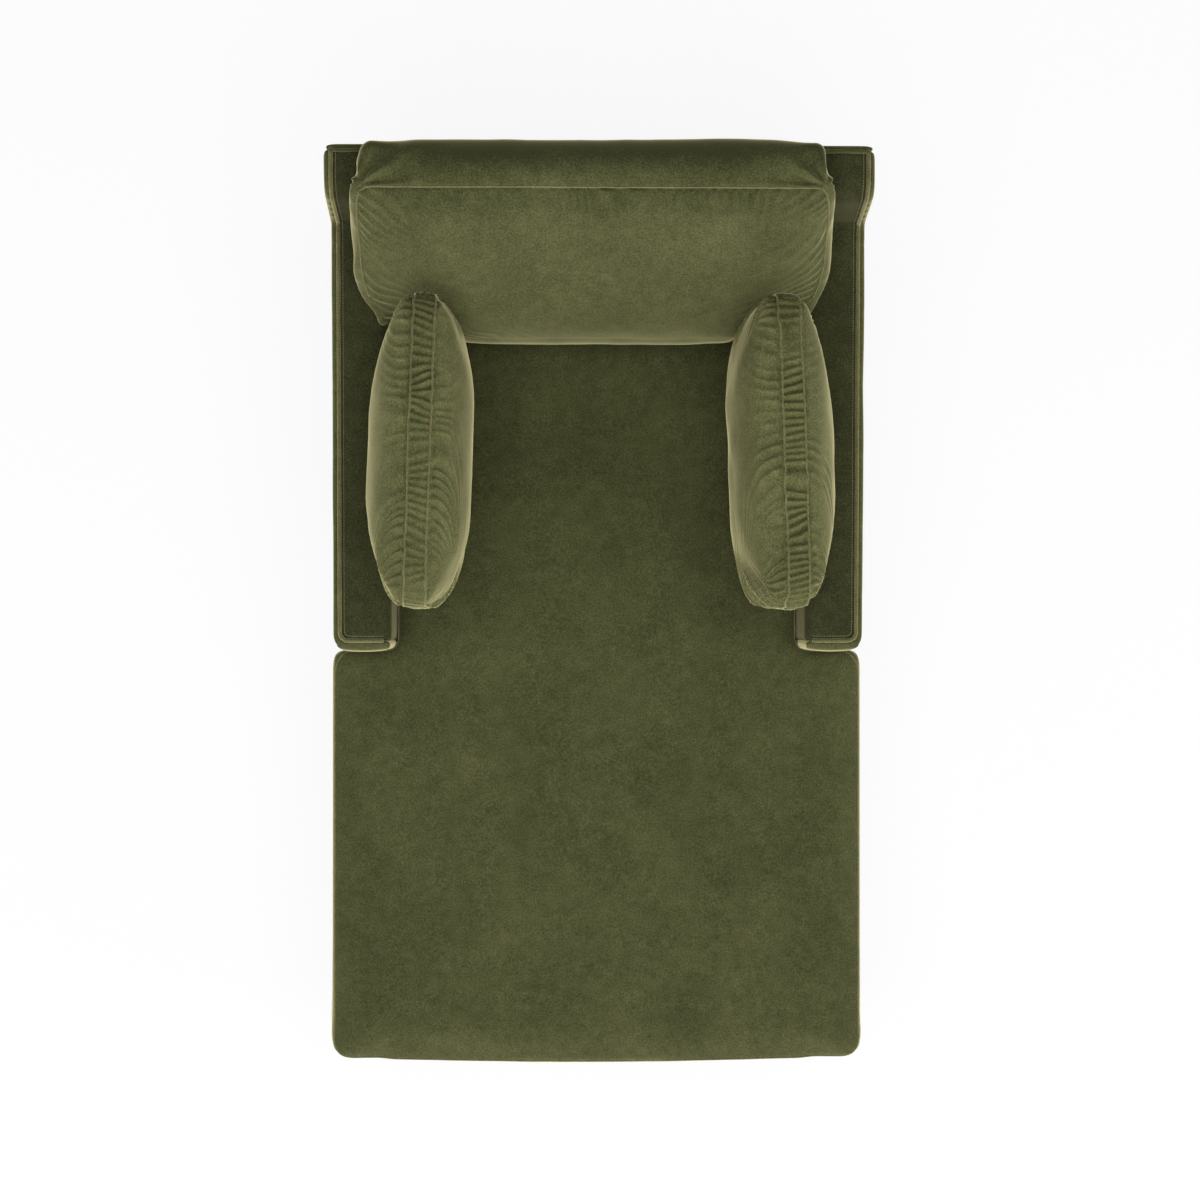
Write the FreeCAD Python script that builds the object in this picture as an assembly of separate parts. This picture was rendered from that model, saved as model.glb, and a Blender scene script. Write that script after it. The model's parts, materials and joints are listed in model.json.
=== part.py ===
# Chaise longue: an upholstered armchair with a long seat, sloped arms that step up to the
# shoulders of the back, a loose T-shaped seat cushion, a loose back cushion and two boxed pillows.
# Frame: +X to the right from the foot end, +Y to the back, +Z up, origin on the floor in the middle.
# All sizes are in millimetres.
import FreeCAD, Part
import math
import os

from FreeCAD import Vector

# Driving sizes of the whole piece
overall_width = 1000.0  # across the outside arm panels
overall_length = 1735.0  # front of the seat cushion to the outside back
base_bottom = 120.0  # underside of the upholstered base
deck_height = 304.0  # top of the deck cloth under the seat cushion

# Arms and shoulders
arm_width = 100.0  # inside face to the welt seam
arm_length = 896.0  # arm front seam to the outside back seam
arm_front_height = 612.0
arm_rear_height = 645.0  # where the arm meets the step up to the shoulder
shoulder_height = 790.0  # top of the back and of its two shoulders
shoulder_depth = 81.0  # shoulder top, to the corner before it is rounded
shoulder_slope = 78.0  # degrees, the step from shoulder to arm
shoulder_round = 40.0
arm_corner_round = 18.0  # upright corners at the arm's front
arm_edge_round = 14.0  # rolled edges of the arm's top
panel_pad = 10.0  # padded outside arm and outside back panels
front_pad = 12.0  # padded arm front
panel_edge_round = 8.0
pad_corner_round = 10.0  # inner upright corner of the arm front pad

# Back
back_rake = 35.0  # lean of the outside back between base and shoulder
back_foot_depth = 210.0  # inside back to outside back seam, at the deck
back_head_depth = 75.0  # the same at the top of the back
back_head_round = 20.0

# Cloth, foam and fits
cover_thickness = 2.0
arm_foam = 12.0
back_foam = 38.0
foam_ease = 0.2  # cover to foam
part_gap = 0.3  # between upholstered parts that touch
welt_radius = 3.5
welt_ease = 0.3
cover_flap = 45.0  # arm cover turned down and stapled on the outside

# Timber frame
ply_thickness = 18.0
rail_thickness = 30.0
ledger_depth = 90.0
frame_height = 166.0  # depth of the front and rear rails
post_width = 40.0
arm_post_depth = 45.0
arm_rail_thickness = 20.0
back_rail_depth = 60.0
back_rail_thickness = 34.0
cross_rail_width = 40.0
cross_rail_depth = 45.0
cross_rail_count = 2
corner_block_leg = 115.0
corner_block_nose = 42.0  # short sides of a corner block
corner_block_depth = 44.0
window_margin = 45.0  # timber left round a cut-out of the side panel
window_round = 22.0
window_count = 3
tenon_length = 60.0  # loose tenons between rails and posts
tenon_width = 28.0
tenon_thickness = 9.0

# Webbing and deck
strap_width = 60.0
strap_thickness = 2.0
cross_strap_pitch = 125.0
long_strap_pitch = 150.0
back_strap_pitch = 150.0
deck_pad_thickness = 7.5
deck_tuck = 14.0  # deck under the inside arm and inside back

# Base cover and dust cover
base_inset = 3.0  # base side, in from the outside arm panel
front_overhang = 20.0  # seat cushion beyond the base front
dust_cover_thickness = 2.0

# Legs
leg_top_width = 60.0
leg_foot_width = 36.0
leg_chamfer = 4.0
leg_inset = 48.0  # leg centre from the frame's inside corner
glide_width = 28.0
glide_thickness = 6.0
bolt_radius = 4.0
bolt_grip = 34.0  # length of the hanger bolt in the leg
bolt_rise = 8.0  # bolt above the corner block
nut_width = 20.0
nut_thickness = 8.0
bolt_clearance = 1.0

# Seat cushion
seat_overhang = 16.0  # T ends beyond the outside arm panels
seat_boxing_low = 14.0  # lower seam above the cushion's bottom
seat_boxing_high = 148.0  # upper seam above the cushion's bottom
seat_crown = 38.0
seat_crown_run = 95.0  # the crown rises from the seam over this run
seat_crown_swell = 12.0  # swell of the top inside that run
seat_fullness = 6.0  # the crown stays full along the seat by this much more
seat_seam_swell = 6.0  # swell of the run itself
seat_side_bow = 3.0
seat_front_bow = 23.0  # corner to the bow's peak before it is rounded
seat_front_round = 42.0
seat_ear_round = 26.0
seat_rear_round = 40.0
seat_inner_round = 16.0
seat_bow_radius = 5000.0
seat_side_gap = 2.0  # cushion to arm
seat_ear_gap = 3.0  # T end to arm front
seat_back_gap = 4.0

# Back cushion
back_cushion_base = 494.0
back_cushion_top = 878.0
back_cushion_boxing = 84.0  # width of the top boxing
back_cushion_belly = 200.0  # greatest thickness, low on the front
back_cushion_belly_height = 116.0  # of the belly above the cushion's base
back_cushion_belly_round = 150.0
back_cushion_chin_round = 60.0
back_cushion_wing = 46.0  # spread over each arm, above it
back_cushion_wing_rise = 50.0  # the sides spread over this height above the arm
back_cushion_side_gap = 4.0
back_cushion_bow = 26.0  # front stands this much proud at the middle
back_cushion_wing_run = 120.0  # the plan spreads to the wings over this depth
back_cushion_round = 46.0
back_cushion_rear_round = 20.0
back_cushion_seam_round = 10.0
back_cushion_lean_gap = 2.0
back_bow_radius = 900.0

# Pillows
pillow_length = 556.0
pillow_height = 410.0
pillow_boxing = 44.0
pillow_inner_crown = 66.0
pillow_outer_crown = 92.0
pillow_fullness = 10.0  # the crowns stay full along the pillow by this much more
pillow_round = 62.0
pillow_bow = 12.0
pillow_bow_radius = 900.0
pillow_lean = 2.0  # degrees, top outwards over the arm
pillow_turn = 2.0  # degrees, front end outwards
pillow_offset = 325.0  # middle of the boxing from the centre line
pillow_setback = 318.0  # middle of the length, ahead of the inside back at the deck
pillow_lift = 2.0  # bottom boxing above the seat cushion's crown
pillow_arm_gap = 1.0
pillow_dent_gap = 8.0  # room round a pillow in the back cushion, so that it lifts clear

filling_ease = 0.6  # cover to filling

# Places worked out from the sizes above
half_width = overall_width / 2
welt_x = half_width - panel_pad
arm_inner_x = welt_x - arm_width
back_seam_y = overall_length / 2 - panel_pad
arm_front_y = back_seam_y - arm_length
front_y = -overall_length / 2
shoulder_corner_y = back_seam_y - shoulder_depth
shoulder_run = (shoulder_height - arm_rear_height) / math.tan(math.radians(shoulder_slope))
shoulder_foot_y = shoulder_corner_y - shoulder_run
rake_slope = back_rake / (shoulder_height - base_bottom)
frame_bottom = base_bottom + dust_cover_thickness + cover_thickness
frame_top = frame_bottom + frame_height
ply_outer_x = welt_x - cover_thickness - part_gap
ply_inner_x = ply_outer_x - ply_thickness
ledger_inner_x = ply_inner_x - rail_thickness
base_side_x = half_width - base_inset
base_front_y = front_y + front_overhang
rail_front_y = base_front_y + (base_side_x - ply_outer_x)
rail_back_y = back_seam_y - rake_slope * (shoulder_height - frame_bottom) - part_gap
arm_frame_inset = cover_thickness + arm_foam
back_frame_inset = cover_thickness + back_foam
seat_bottom = deck_height + part_gap
seat_top = seat_bottom + seat_boxing_high + seat_crown
smallest_round = 0.5
welt_turn_step = math.radians(30)  # a welt goes round a corner in short mitred runs


def seam_y(z):
    """Place of the outside back seam at height z: it leans back with the rake."""
    return back_seam_y - rake_slope * (shoulder_height - z)


def inside_back_y(z):
    """Face of the inside back at height z."""
    foot = seam_y(deck_height) - back_foot_depth
    head = back_seam_y - back_head_depth
    return foot + (head - foot) * (z - deck_height) / (shoulder_height - deck_height)


def in_yz(x):
    return lambda u, v: Vector(x, u, v)


def in_xz(y):
    return lambda u, v: Vector(u, y, v)


def in_xy(z):
    return lambda u, v: Vector(u, v, z)


def turn_side(points):
    """1 for an outline that runs anticlockwise, -1 for one that runs clockwise."""
    pairs = zip(points, points[1:] + points[:1])
    return 1 if sum(a[0] * b[1] - b[0] * a[1] for a, b in pairs) > 0 else -1


def inset_points(points, inset):
    """Corners of a closed outline moved inwards; inset is one distance or one for each side."""
    count = len(points)
    insets = inset if isinstance(inset, list) else [inset] * count
    side = turn_side(points)
    lines = []
    for i in range(count):
        (ax, ay), (bx, by) = points[i], points[(i + 1) % count]
        length = math.hypot(bx - ax, by - ay)
        dx, dy = (bx - ax) / length, (by - ay) / length
        lines.append((ax - dy * side * insets[i], ay + dx * side * insets[i], dx, dy))
    moved = []
    for i in range(count):
        px, py, pdx, pdy = lines[i - 1]
        qx, qy, qdx, qdy = lines[i]
        along = ((qx - px) * qdy - (qy - py) * qdx) / (pdx * qdy - pdy * qdx)
        moved.append((px + pdx * along, py + pdy * along))
    return moved


def outline(points, rounds, place, inset=0.0):
    """Closed wire through the points, each corner rounded by its own tangent arc."""
    side = turn_side(points)
    corners = inset_points(points, inset)
    shrink = max(inset) if isinstance(inset, list) else inset
    count = len(corners)
    starts, ends, arcs = [], [], []
    for i in range(count):
        (px, py), (cx, cy), (nx, ny) = corners[i - 1], corners[i], corners[(i + 1) % count]
        before, after = math.hypot(cx - px, cy - py), math.hypot(nx - cx, ny - cy)
        inx, iny = (cx - px) / before, (cy - py) / before
        outx, outy = (nx - cx) / after, (ny - cy) / after
        bend = inx * outy - iny * outx
        turn = math.atan2(abs(bend), inx * outx + iny * outy)
        if rounds[i] == 0:
            starts.append((cx, cy))
            ends.append((cx, cy))
            arcs.append(None)
            continue
        grow = -shrink if bend * side > 0 else shrink
        radius = max(rounds[i] + grow, smallest_round)
        reach = min(radius * math.tan(turn / 2), 0.48 * before, 0.48 * after)
        radius = reach / math.tan(turn / 2)
        bisx, bisy = outx - inx, outy - iny
        size = math.hypot(bisx, bisy)
        sag = radius / math.cos(turn / 2) - radius
        starts.append((cx - inx * reach, cy - iny * reach))
        ends.append((cx + outx * reach, cy + outy * reach))
        arcs.append((cx + bisx / size * sag, cy + bisy / size * sag))
    edges = []
    for i in range(count):
        if arcs[i]:
            arc = Part.Arc(place(*starts[i]), place(*arcs[i]), place(*ends[i]))
            edges.append(arc.toShape())
        following = starts[(i + 1) % count]
        edges.append(Part.LineSegment(place(*ends[i]), place(*following)).toShape())
    return Part.Wire(edges)


def slab(points, rounds, place, thickness, inset=0.0):
    """Outline carried along the vector thickness."""
    return Part.Face(outline(points, rounds, place, inset)).extrude(thickness)


def across(points, rounds, x_from, x_to, inset=0.0):
    """Side profile, in Y and Z, carried across from x_from to x_to."""
    return slab(points, rounds, in_yz(x_from), Vector(x_to - x_from, 0, 0), inset)


def block(x0, x1, y0, y1, z0, z1):
    return Part.makeBox(x1 - x0, y1 - y0, z1 - z0, Vector(x0, y0, z0))


def mirrored(shape):
    """The same piece on the other side of the chaise."""
    return shape.mirror(Vector(0, 0, 0), Vector(1, 0, 0))


def both_sides(shape):
    return [shape, mirrored(shape)]


def group(shapes):
    return Part.Compound(list(shapes))


def rounded_where(shape, radius, wanted):
    """Rounds the edges that the test picks."""
    return shape.makeFillet(radius, [e for e in shape.Edges if wanted(e)])


def spans(edge, axis):
    box = edge.BoundBox
    return getattr(box, axis + "Min"), getattr(box, axis + "Max")


def lies_at(edge, axis, value, tolerance=0.05):
    low, high = spans(edge, axis)
    return abs(low - value) < tolerance and abs(high - value) < tolerance


def is_upright(edge):
    return lies_at(edge, "X", spans(edge, "X")[0]) and lies_at(edge, "Y", spans(edge, "Y")[0])


def tube(points, rounds, radius):
    """Round cord along straight runs, mitred where it goes round a corner."""
    route = [points[0]]
    for i in range(1, len(points) - 1):
        before, after = points[i - 1] - points[i], points[i + 1] - points[i]
        before.normalize()
        after.normalize()
        if rounds[i] == 0:
            route.append(points[i])
            continue
        half = before.getAngle(after) / 2
        middle = before + after
        middle.normalize()
        centre = points[i] + middle * (rounds[i] / math.sin(half))
        out = points[i] + before * (rounds[i] / math.tan(half)) - centre
        out.normalize()
        turn = math.pi - 2 * half
        mitres = max(1, round(turn / welt_turn_step))
        far = rounds[i] / math.cos(turn / mitres / 2)
        for k in range(mitres):
            angle = (k + 0.5) * turn / mitres
            route.append(centre + (out * math.cos(angle) - before * math.sin(angle)) * far)
    route.append(points[-1])
    ring = Part.Circle(points[0], points[1] - points[0], radius).toShape()
    mitred = 1
    return Part.makePolygon(route).makePipeShell([Part.Wire([ring])], True, False, mitred)


def bowed(points, rises, place):
    """Closed wire through the points whose sides bow outwards, each by its own rise."""
    side = turn_side(points)
    edges = []
    for (ax, ay), (bx, by), rise in zip(points, points[1:] + points[:1], rises):
        start, end = place(ax, ay), place(bx, by)
        if rise == 0:
            edges.append(Part.LineSegment(start, end).toShape())
            continue
        out = side * rise / math.hypot(bx - ax, by - ay)
        peak = place((ax + bx) / 2 + (by - ay) * out, (ay + by) / 2 - (bx - ax) * out)
        edges.append(Part.Arc(start, peak, end).toShape())
    return Part.Wire(edges)


def bowed_slab(points, rises, place, thickness):
    """Bowed outline carried along the vector thickness."""
    return Part.Face(bowed(points, rises, place)).extrude(thickness)


# Arm and shoulder profile, from the front bottom over the top to the rear bottom
def arm_profile(bottom, front=arm_front_y, rear_extra=0.0):
    return [
        (front, bottom),
        (front, arm_front_height),
        (shoulder_foot_y, arm_rear_height),
        (shoulder_corner_y, shoulder_height),
        (back_seam_y + rear_extra, shoulder_height),
        (seam_y(bottom) + rear_extra, bottom),
    ]


arm_profile_rounds = [0, 0, 0, shoulder_round, 0, 0]


def chamfered_where(shape, size, wanted):
    """Chamfers the edges that the test picks."""
    return shape.makeChamfer(size, [e for e in shape.Edges if wanted(e)])


def arm_block(inset, hidden):
    """Left arm and shoulder as one block, drawn in by inset: rolled outside, chamfered where hidden."""
    reach = hidden * (2 * inset + panel_pad)
    ease = chamfered_where if hidden else rounded_where
    profile = arm_profile(deck_height - reach, rear_extra=reach)
    outer, inner = -(welt_x - inset), -(arm_inner_x + inset)
    share = 0.75 if hidden else 1.0
    corner, edge = (arm_corner_round - inset) * share, (arm_edge_round - inset) * share
    body = across(profile, arm_profile_rounds, outer, inner, inset)
    front = arm_front_y + inset
    body = ease(body, corner, lambda e: is_upright(e) and lies_at(e, "Y", front))
    floor = body.BoundBox.ZMin

    def is_top_edge(e):
        on_side = lies_at(e, "X", outer) or lies_at(e, "X", inner)
        on_front = lies_at(e, "Y", front) and not is_upright(e)
        at_corner = spans(e, "Y")[1] < front + corner + 0.1 and not is_upright(e)
        if is_upright(e) and spans(e, "Y")[1] < front + corner + 0.1:
            return False
        return (on_side or on_front or at_corner) and not lies_at(e, "Z", floor)

    body = ease(body, edge, is_top_edge)
    if hidden:
        return body
    rear_top = [
        e
        for e in body.Edges
        if lies_at(e, "Y", back_seam_y) and lies_at(e, "Z", shoulder_height)
    ]
    return body.makeFillet(edge * 0.9, rear_top)


def back_window():
    """Room for the back's rails to pass from shoulder to shoulder."""
    reach = 2 * arm_frame_inset + panel_pad
    profile = back_profile(deck_height - reach, rear_extra=reach)
    return across(profile, [0] * 4, -arm_inner_x - 2 * arm_frame_inset, -arm_inner_x + 1, arm_frame_inset)


def left_arm_cover():
    """Velvet over the arm and shoulder, turned down inside the outside panel."""
    hollow = arm_block(cover_thickness, True)
    window = across(
        arm_profile(deck_height - cover_flap * 2, rear_extra=cover_flap * 2),
        [0] * 6,
        -welt_x - 1,
        -welt_x + cover_thickness + part_gap,
        cover_flap,
    )
    return arm_block(0.0, False).cut(hollow).cut(window).cut(back_window())


def left_arm_foam():
    """Foam over the arm frame: top, inside and front."""
    inset = arm_frame_inset
    reach = 2 * inset + panel_pad
    hollow = across(
        arm_profile(deck_height - reach, rear_extra=reach),
        arm_profile_rounds,
        -welt_x,
        -(arm_inner_x + inset),
        inset,
    )
    skin = cover_thickness + foam_ease
    rounds = [0, 0, 0, shoulder_round, arm_edge_round, 0]
    keep = across(
        arm_profile(deck_height), rounds, -half_width, -arm_inner_x, [skin, skin, skin, skin, 0.0, 0.0]
    )
    return arm_block(skin, True).common(keep).cut(hollow).cut(back_window())


def left_outside_panel():
    """Padded outside arm that wraps round the corner over the arm's front."""
    front = arm_front_y - front_pad
    body = across(
        arm_profile(base_bottom, front=front), arm_profile_rounds, -half_width, -arm_inner_x
    )
    outer_round = arm_corner_round + panel_pad

    def is_front_corner(e, x):
        return is_upright(e) and lies_at(e, "Y", front) and lies_at(e, "X", x)

    body = rounded_where(body, outer_round, lambda e: is_front_corner(e, -half_width))
    body = rounded_where(body, pad_corner_round, lambda e: is_front_corner(e, -arm_inner_x))

    def is_outer_top(e):
        if lies_at(e, "Z", base_bottom) or is_upright(e):
            return False
        near_front = spans(e, "Y")[1] < front + outer_round + 0.1
        return (lies_at(e, "X", -half_width) and spans(e, "Z")[1] > arm_front_height - 1) or near_front

    body = rounded_where(body, panel_edge_round, is_outer_top)
    tall = shoulder_height + panel_pad
    core_corners = [
        (-welt_x, arm_front_y),
        (-arm_inner_x + panel_pad, arm_front_y),
        (-arm_inner_x + panel_pad, overall_length),
        (-welt_x, overall_length),
    ]
    core = slab(core_corners, [arm_corner_round, 0, 0, 0], in_xy(0), Vector(0, 0, tall))
    below = block(-welt_x, -arm_inner_x + 1, front - 1, arm_front_y + arm_corner_round, 0, deck_height)
    return body.cut(core).cut(below)


def welt_height():
    """Rise of a welt's centre above the edge that it lies in, resting on the rolled edge."""
    reach = welt_radius + welt_ease
    across_gap = arm_edge_round - reach
    return math.sqrt((arm_edge_round + reach) ** 2 - across_gap**2) - arm_edge_round


def left_arm_welt():
    """Piped seam: across the arm's front, along the arm, up the step and over the shoulder."""
    reach = welt_radius + welt_ease
    rise = welt_height()
    top = inset_points(arm_profile(deck_height), -rise)
    x = -(welt_x - reach)
    front = arm_front_y + reach
    slope = (arm_rear_height - arm_front_height) / (shoulder_foot_y - arm_front_y)
    front_z = arm_front_height + rise + slope * reach
    end = back_seam_y - 2 * reach - welt_radius
    points = [
        Vector(-(arm_inner_x + arm_edge_round), front, front_z),
        Vector(x, front, front_z),
        Vector(x, *top[2]),
        Vector(x, *top[3]),
        Vector(x, end, shoulder_height + rise),
    ]
    rounds = [0, arm_corner_round - reach, 0, shoulder_round + rise, 0]
    return tube(points, rounds, welt_radius)


def back_welt():
    """Piped seam along the top of the outside back."""
    reach = welt_radius + welt_ease
    y, z = back_seam_y - reach, shoulder_height + welt_height()
    x = welt_x - welt_ease
    return tube([Vector(-x, y, z), Vector(x, y, z)], [0, 0], welt_radius)


# Inside back
def back_profile(bottom, rear_extra=0.0):
    return [
        (inside_back_y(bottom), bottom),
        (inside_back_y(shoulder_height), shoulder_height),
        (back_seam_y + rear_extra, shoulder_height),
        (seam_y(bottom) + rear_extra, bottom),
    ]


def back_cover():
    """Velvet over the front and top of the back."""
    half = arm_inner_x - part_gap
    rounds = [0, back_head_round, arm_edge_round, 0]
    reach = cover_thickness + panel_pad
    outer = across(back_profile(deck_height), rounds, -half, half)
    inner_rounds = [0, back_head_round, 0, 0]
    hollow = across(
        back_profile(deck_height - reach, rear_extra=reach), inner_rounds, -half, half, cover_thickness
    )
    rear_roll = across(back_profile(deck_height), rounds, -half, half, cover_thickness)
    low = block(-half, half, inside_back_y(deck_height), back_seam_y, 0, shoulder_height - arm_edge_round)
    return outer.cut(hollow.common(rear_roll.fuse(low)))


def back_foam_pad():
    """Foam on the front and top of the back frame."""
    half = arm_inner_x - part_gap
    inset = cover_thickness + foam_ease
    rounds = [0, back_head_round, arm_edge_round, 0]
    soft = across(back_profile(deck_height), rounds, -half, half, [inset, inset, inset, 0.0])
    reach = back_frame_inset + panel_pad
    hollow = across(
        back_profile(deck_height - reach, rear_extra=reach),
        [0] * 4,
        -half - 1,
        half + 1,
        [back_frame_inset - strap_thickness, arm_frame_inset, 0.0, 0.0],
    )
    return soft.cut(hollow)


def outside_back():
    """Padded panel that closes the back from arm to arm."""
    profile = [
        (seam_y(base_bottom), base_bottom),
        (back_seam_y, shoulder_height),
        (back_seam_y + panel_pad, shoulder_height),
        (seam_y(base_bottom) + panel_pad, base_bottom),
    ]
    body = across(profile, [0] * 4, -half_width, half_width)

    def is_rear_rim(e):
        rear = seam_y(e.CenterOfMass.z) + panel_pad
        return abs(e.CenterOfMass.y - rear) < 0.1 and not lies_at(e, "Z", base_bottom)

    return rounded_where(body, panel_edge_round, is_rear_rim)


# Timber frame
def frame_profile():
    """Side panel outline: the base's side, then the arm and the shoulder behind their foam."""
    top = inset_points(arm_profile(deck_height), arm_frame_inset + part_gap)
    front = arm_front_y + arm_corner_round
    rear = seam_y(frame_bottom) - part_gap
    return [
        (rail_front_y, frame_bottom),
        (rail_front_y, frame_top),
        (front, frame_top),
        (front, top[1][1]),
        top[2],
        top[3],
        (top[4][0] + arm_frame_inset, top[4][1]),
        (rear, frame_bottom),
    ]


def left_side_panel():
    """Plywood side, sawn to the arm's outline, with cut-outs between its uprights."""
    profile = frame_profile()
    grow = arm_frame_inset + part_gap
    rounds = [0, 0, 0, 0, 0, shoulder_round - grow, 0, 0]
    panel = across(profile, rounds, -ply_outer_x, -ply_inner_x)
    first = profile[3][0] + arm_post_depth + window_margin / 2
    last = post_front_y(arm_rear_height) - window_margin / 2
    pitch = (last - first) / window_count
    low = frame_top + window_margin

    def top_at(y):
        share = (y - profile[3][0]) / (profile[4][0] - profile[3][0])
        rise = profile[4][1] - profile[3][1]
        return profile[3][1] + rise * share - arm_rail_thickness - window_margin

    for i in range(window_count):
        start = first + i * pitch + window_margin / 2
        end = first + (i + 1) * pitch - window_margin / 2
        corners = [(start, low), (end, low), (end, top_at(end)), (start, top_at(start))]
        cut_out = across(corners, [window_round] * 4, -ply_outer_x - 1, -ply_inner_x + 1)
        panel = panel.cut(cut_out)
    return panel


def left_side_rail():
    """Ledger on the inside of the side panel that carries the webbing."""
    return block(
        -ply_inner_x,
        -ledger_inner_x,
        rail_front_y + rail_thickness,
        rail_back_y - rail_thickness,
        frame_top - ledger_depth,
        frame_top,
    )


def front_rail():
    return block(
        -ply_inner_x, ply_inner_x, rail_front_y, rail_front_y + rail_thickness, frame_bottom, frame_top
    )


def rear_rail():
    return block(
        -ply_inner_x, ply_inner_x, rail_back_y - rail_thickness, rail_back_y, frame_bottom, frame_top
    )


def cross_rail_places():
    """Middles of the cross rails, spread evenly between the front and rear rails."""
    start, end = rail_front_y + rail_thickness, rail_back_y - rail_thickness
    step = (end - start) / (cross_rail_count + 1)
    return [start + step * (i + 1) for i in range(cross_rail_count)]


def cross_rails():
    low = frame_top - ledger_depth
    rails = [
        block(
            -ledger_inner_x,
            ledger_inner_x,
            y - cross_rail_width / 2,
            y + cross_rail_width / 2,
            low,
            low + cross_rail_depth,
        )
        for y in cross_rail_places()
    ]
    return group(rails)


def cross_rail_tenons():
    """Loose tenons where the cross rails meet the left ledger."""
    z = frame_top - ledger_depth + cross_rail_depth / 2
    half = Vector(tenon_length, tenon_width, tenon_thickness) / 2
    return [tenon(Vector(-ledger_inner_x, y, z), half) for y in cross_rail_places()]


def tenon(centre, half):
    low, high = centre - half, centre + half
    return block(low.x, high.x, low.y, high.y, low.z, high.z)


def leg_places():
    """Leg centres, inside the frame's four corners."""
    x = ply_inner_x - leg_inset
    front, rear = rail_front_y + rail_thickness + leg_inset, rail_back_y - rail_thickness - leg_inset
    return {
        "front_left_leg": (-x, front),
        "front_right_leg": (x, front),
        "rear_left_leg": (-x, rear),
        "rear_right_leg": (x, rear),
    }


def corner_blocks():
    """Glued blocks in the corners, each bored for a leg's bolt."""
    front, rear = rail_front_y + rail_thickness, rail_back_y - rail_thickness
    shapes = []
    for y, way in ((front, 1), (rear, -1)):
        x = -ply_inner_x
        corners = [
            (x, y),
            (x + corner_block_leg, y),
            (x + corner_block_leg, y + way * corner_block_nose),
            (x + corner_block_nose, y + way * corner_block_leg),
            (x, y + way * corner_block_leg),
        ]
        piece = slab(corners, [0] * 5, in_xy(frame_bottom), Vector(0, 0, corner_block_depth))
        shapes += both_sides(piece)
    for x, y in leg_places().values():
        bore = Part.makeCylinder(bolt_radius + bolt_clearance, corner_block_depth, Vector(x, y, frame_bottom))
        shapes = [s.cut(bore) for s in shapes]
    return group(shapes)


def left_arm_post():
    """Front post of the arm, on the ledger."""
    front = arm_front_y + arm_frame_inset + part_gap
    top = arm_top_at(front) - arm_rail_thickness
    profile = [
        (front, frame_top),
        (front, top),
        (front + arm_post_depth, arm_top_at(front + arm_post_depth) - arm_rail_thickness),
        (front + arm_post_depth, frame_top),
    ]
    return across(profile, [0] * 4, -ply_inner_x, -arm_frame_inner_x())


def arm_frame_inner_x():
    return arm_inner_x + arm_frame_inset + part_gap


def arm_top_at(y):
    """Timber height under the arm's foam."""
    profile = frame_profile()
    (y0, z0), (y1, z1) = profile[3], profile[4]
    return z0 + (z1 - z0) * (y - y0) / (y1 - y0)


def left_arm_rail():
    """Top board of the arm, from the front post to the back post."""
    front = arm_front_y + arm_frame_inset + part_gap
    rear_top = arm_top_at(post_front_y(arm_rear_height - arm_frame_inset))
    rear_bottom = rear_top - arm_rail_thickness
    profile = [
        (front, arm_top_at(front) - arm_rail_thickness),
        (front, arm_top_at(front)),
        (post_front_y(rear_top) - part_gap, rear_top),
        (post_front_y(rear_bottom) - part_gap, rear_bottom),
    ]
    return across(profile, [0] * 4, -ply_inner_x, -arm_frame_inner_x())


def post_front_y(z):
    """Front edge of the back posts and rails, parallel to the inside back."""
    slope = (inside_back_y(shoulder_height) - inside_back_y(deck_height)) / (shoulder_height - deck_height)
    return inside_back_y(z) + back_frame_inset * math.sqrt(1 + slope**2)


def post_top():
    return shoulder_height - arm_frame_inset - part_gap


def left_back_post():
    """Back post, sawn wide at the seat and narrow at the shoulder."""
    profile = [
        (post_front_y(frame_top), frame_top),
        (post_front_y(post_top()), post_top()),
        (seam_y(post_top()) - part_gap, post_top()),
        (seam_y(frame_top) - part_gap, frame_top),
    ]
    return across(profile, [0] * 4, -ply_inner_x, -(ply_inner_x - post_width))


def back_rail(low, high):
    """Rail between the back posts, no deeper than the posts are."""
    def rear_at(z):
        return min(post_front_y(z) + back_rail_thickness, seam_y(z) - part_gap)

    profile = [
        (post_front_y(low), low),
        (post_front_y(high), high),
        (rear_at(high), high),
        (rear_at(low), low),
    ]
    half = ply_inner_x - post_width
    return across(profile, [0] * 4, -half, half)


def back_rail_heights():
    """Bottom and top of the lower and the upper back rail."""
    lower = deck_height + deck_tuck
    return [(lower, lower + back_rail_depth), (post_top() - back_rail_depth, post_top())]


def back_rail_tenons():
    """Loose tenons where the back rails meet the left back post."""
    half = Vector(tenon_length, tenon_thickness, tenon_width) / 2
    places = []
    for low, high in back_rail_heights():
        z = (low + high) / 2
        rear = min(post_front_y(z) + back_rail_thickness, seam_y(z) - part_gap)
        places.append(Vector(-(ply_inner_x - post_width), (post_front_y(z) + rear) / 2, z))
    return [tenon(place, half) for place in places]


def loose_tenons():
    """Beech tenons at the ends of the cross rails and of the back rails."""
    left = cross_rail_tenons() + back_rail_tenons()
    return group(left + [mirrored(t) for t in left])


def mortised(shape, tenons):
    """The piece with its mortises."""
    for slot in tenons.Solids:
        shape = shape.cut(slot)
    return shape


# Webbing and deck
def spread(first, last, pitch):
    """Even places from first to last, no further apart than the pitch."""
    count = max(1, math.ceil((last - first) / pitch))
    return [first + (last - first) * i / count for i in range(count + 1)]


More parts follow.
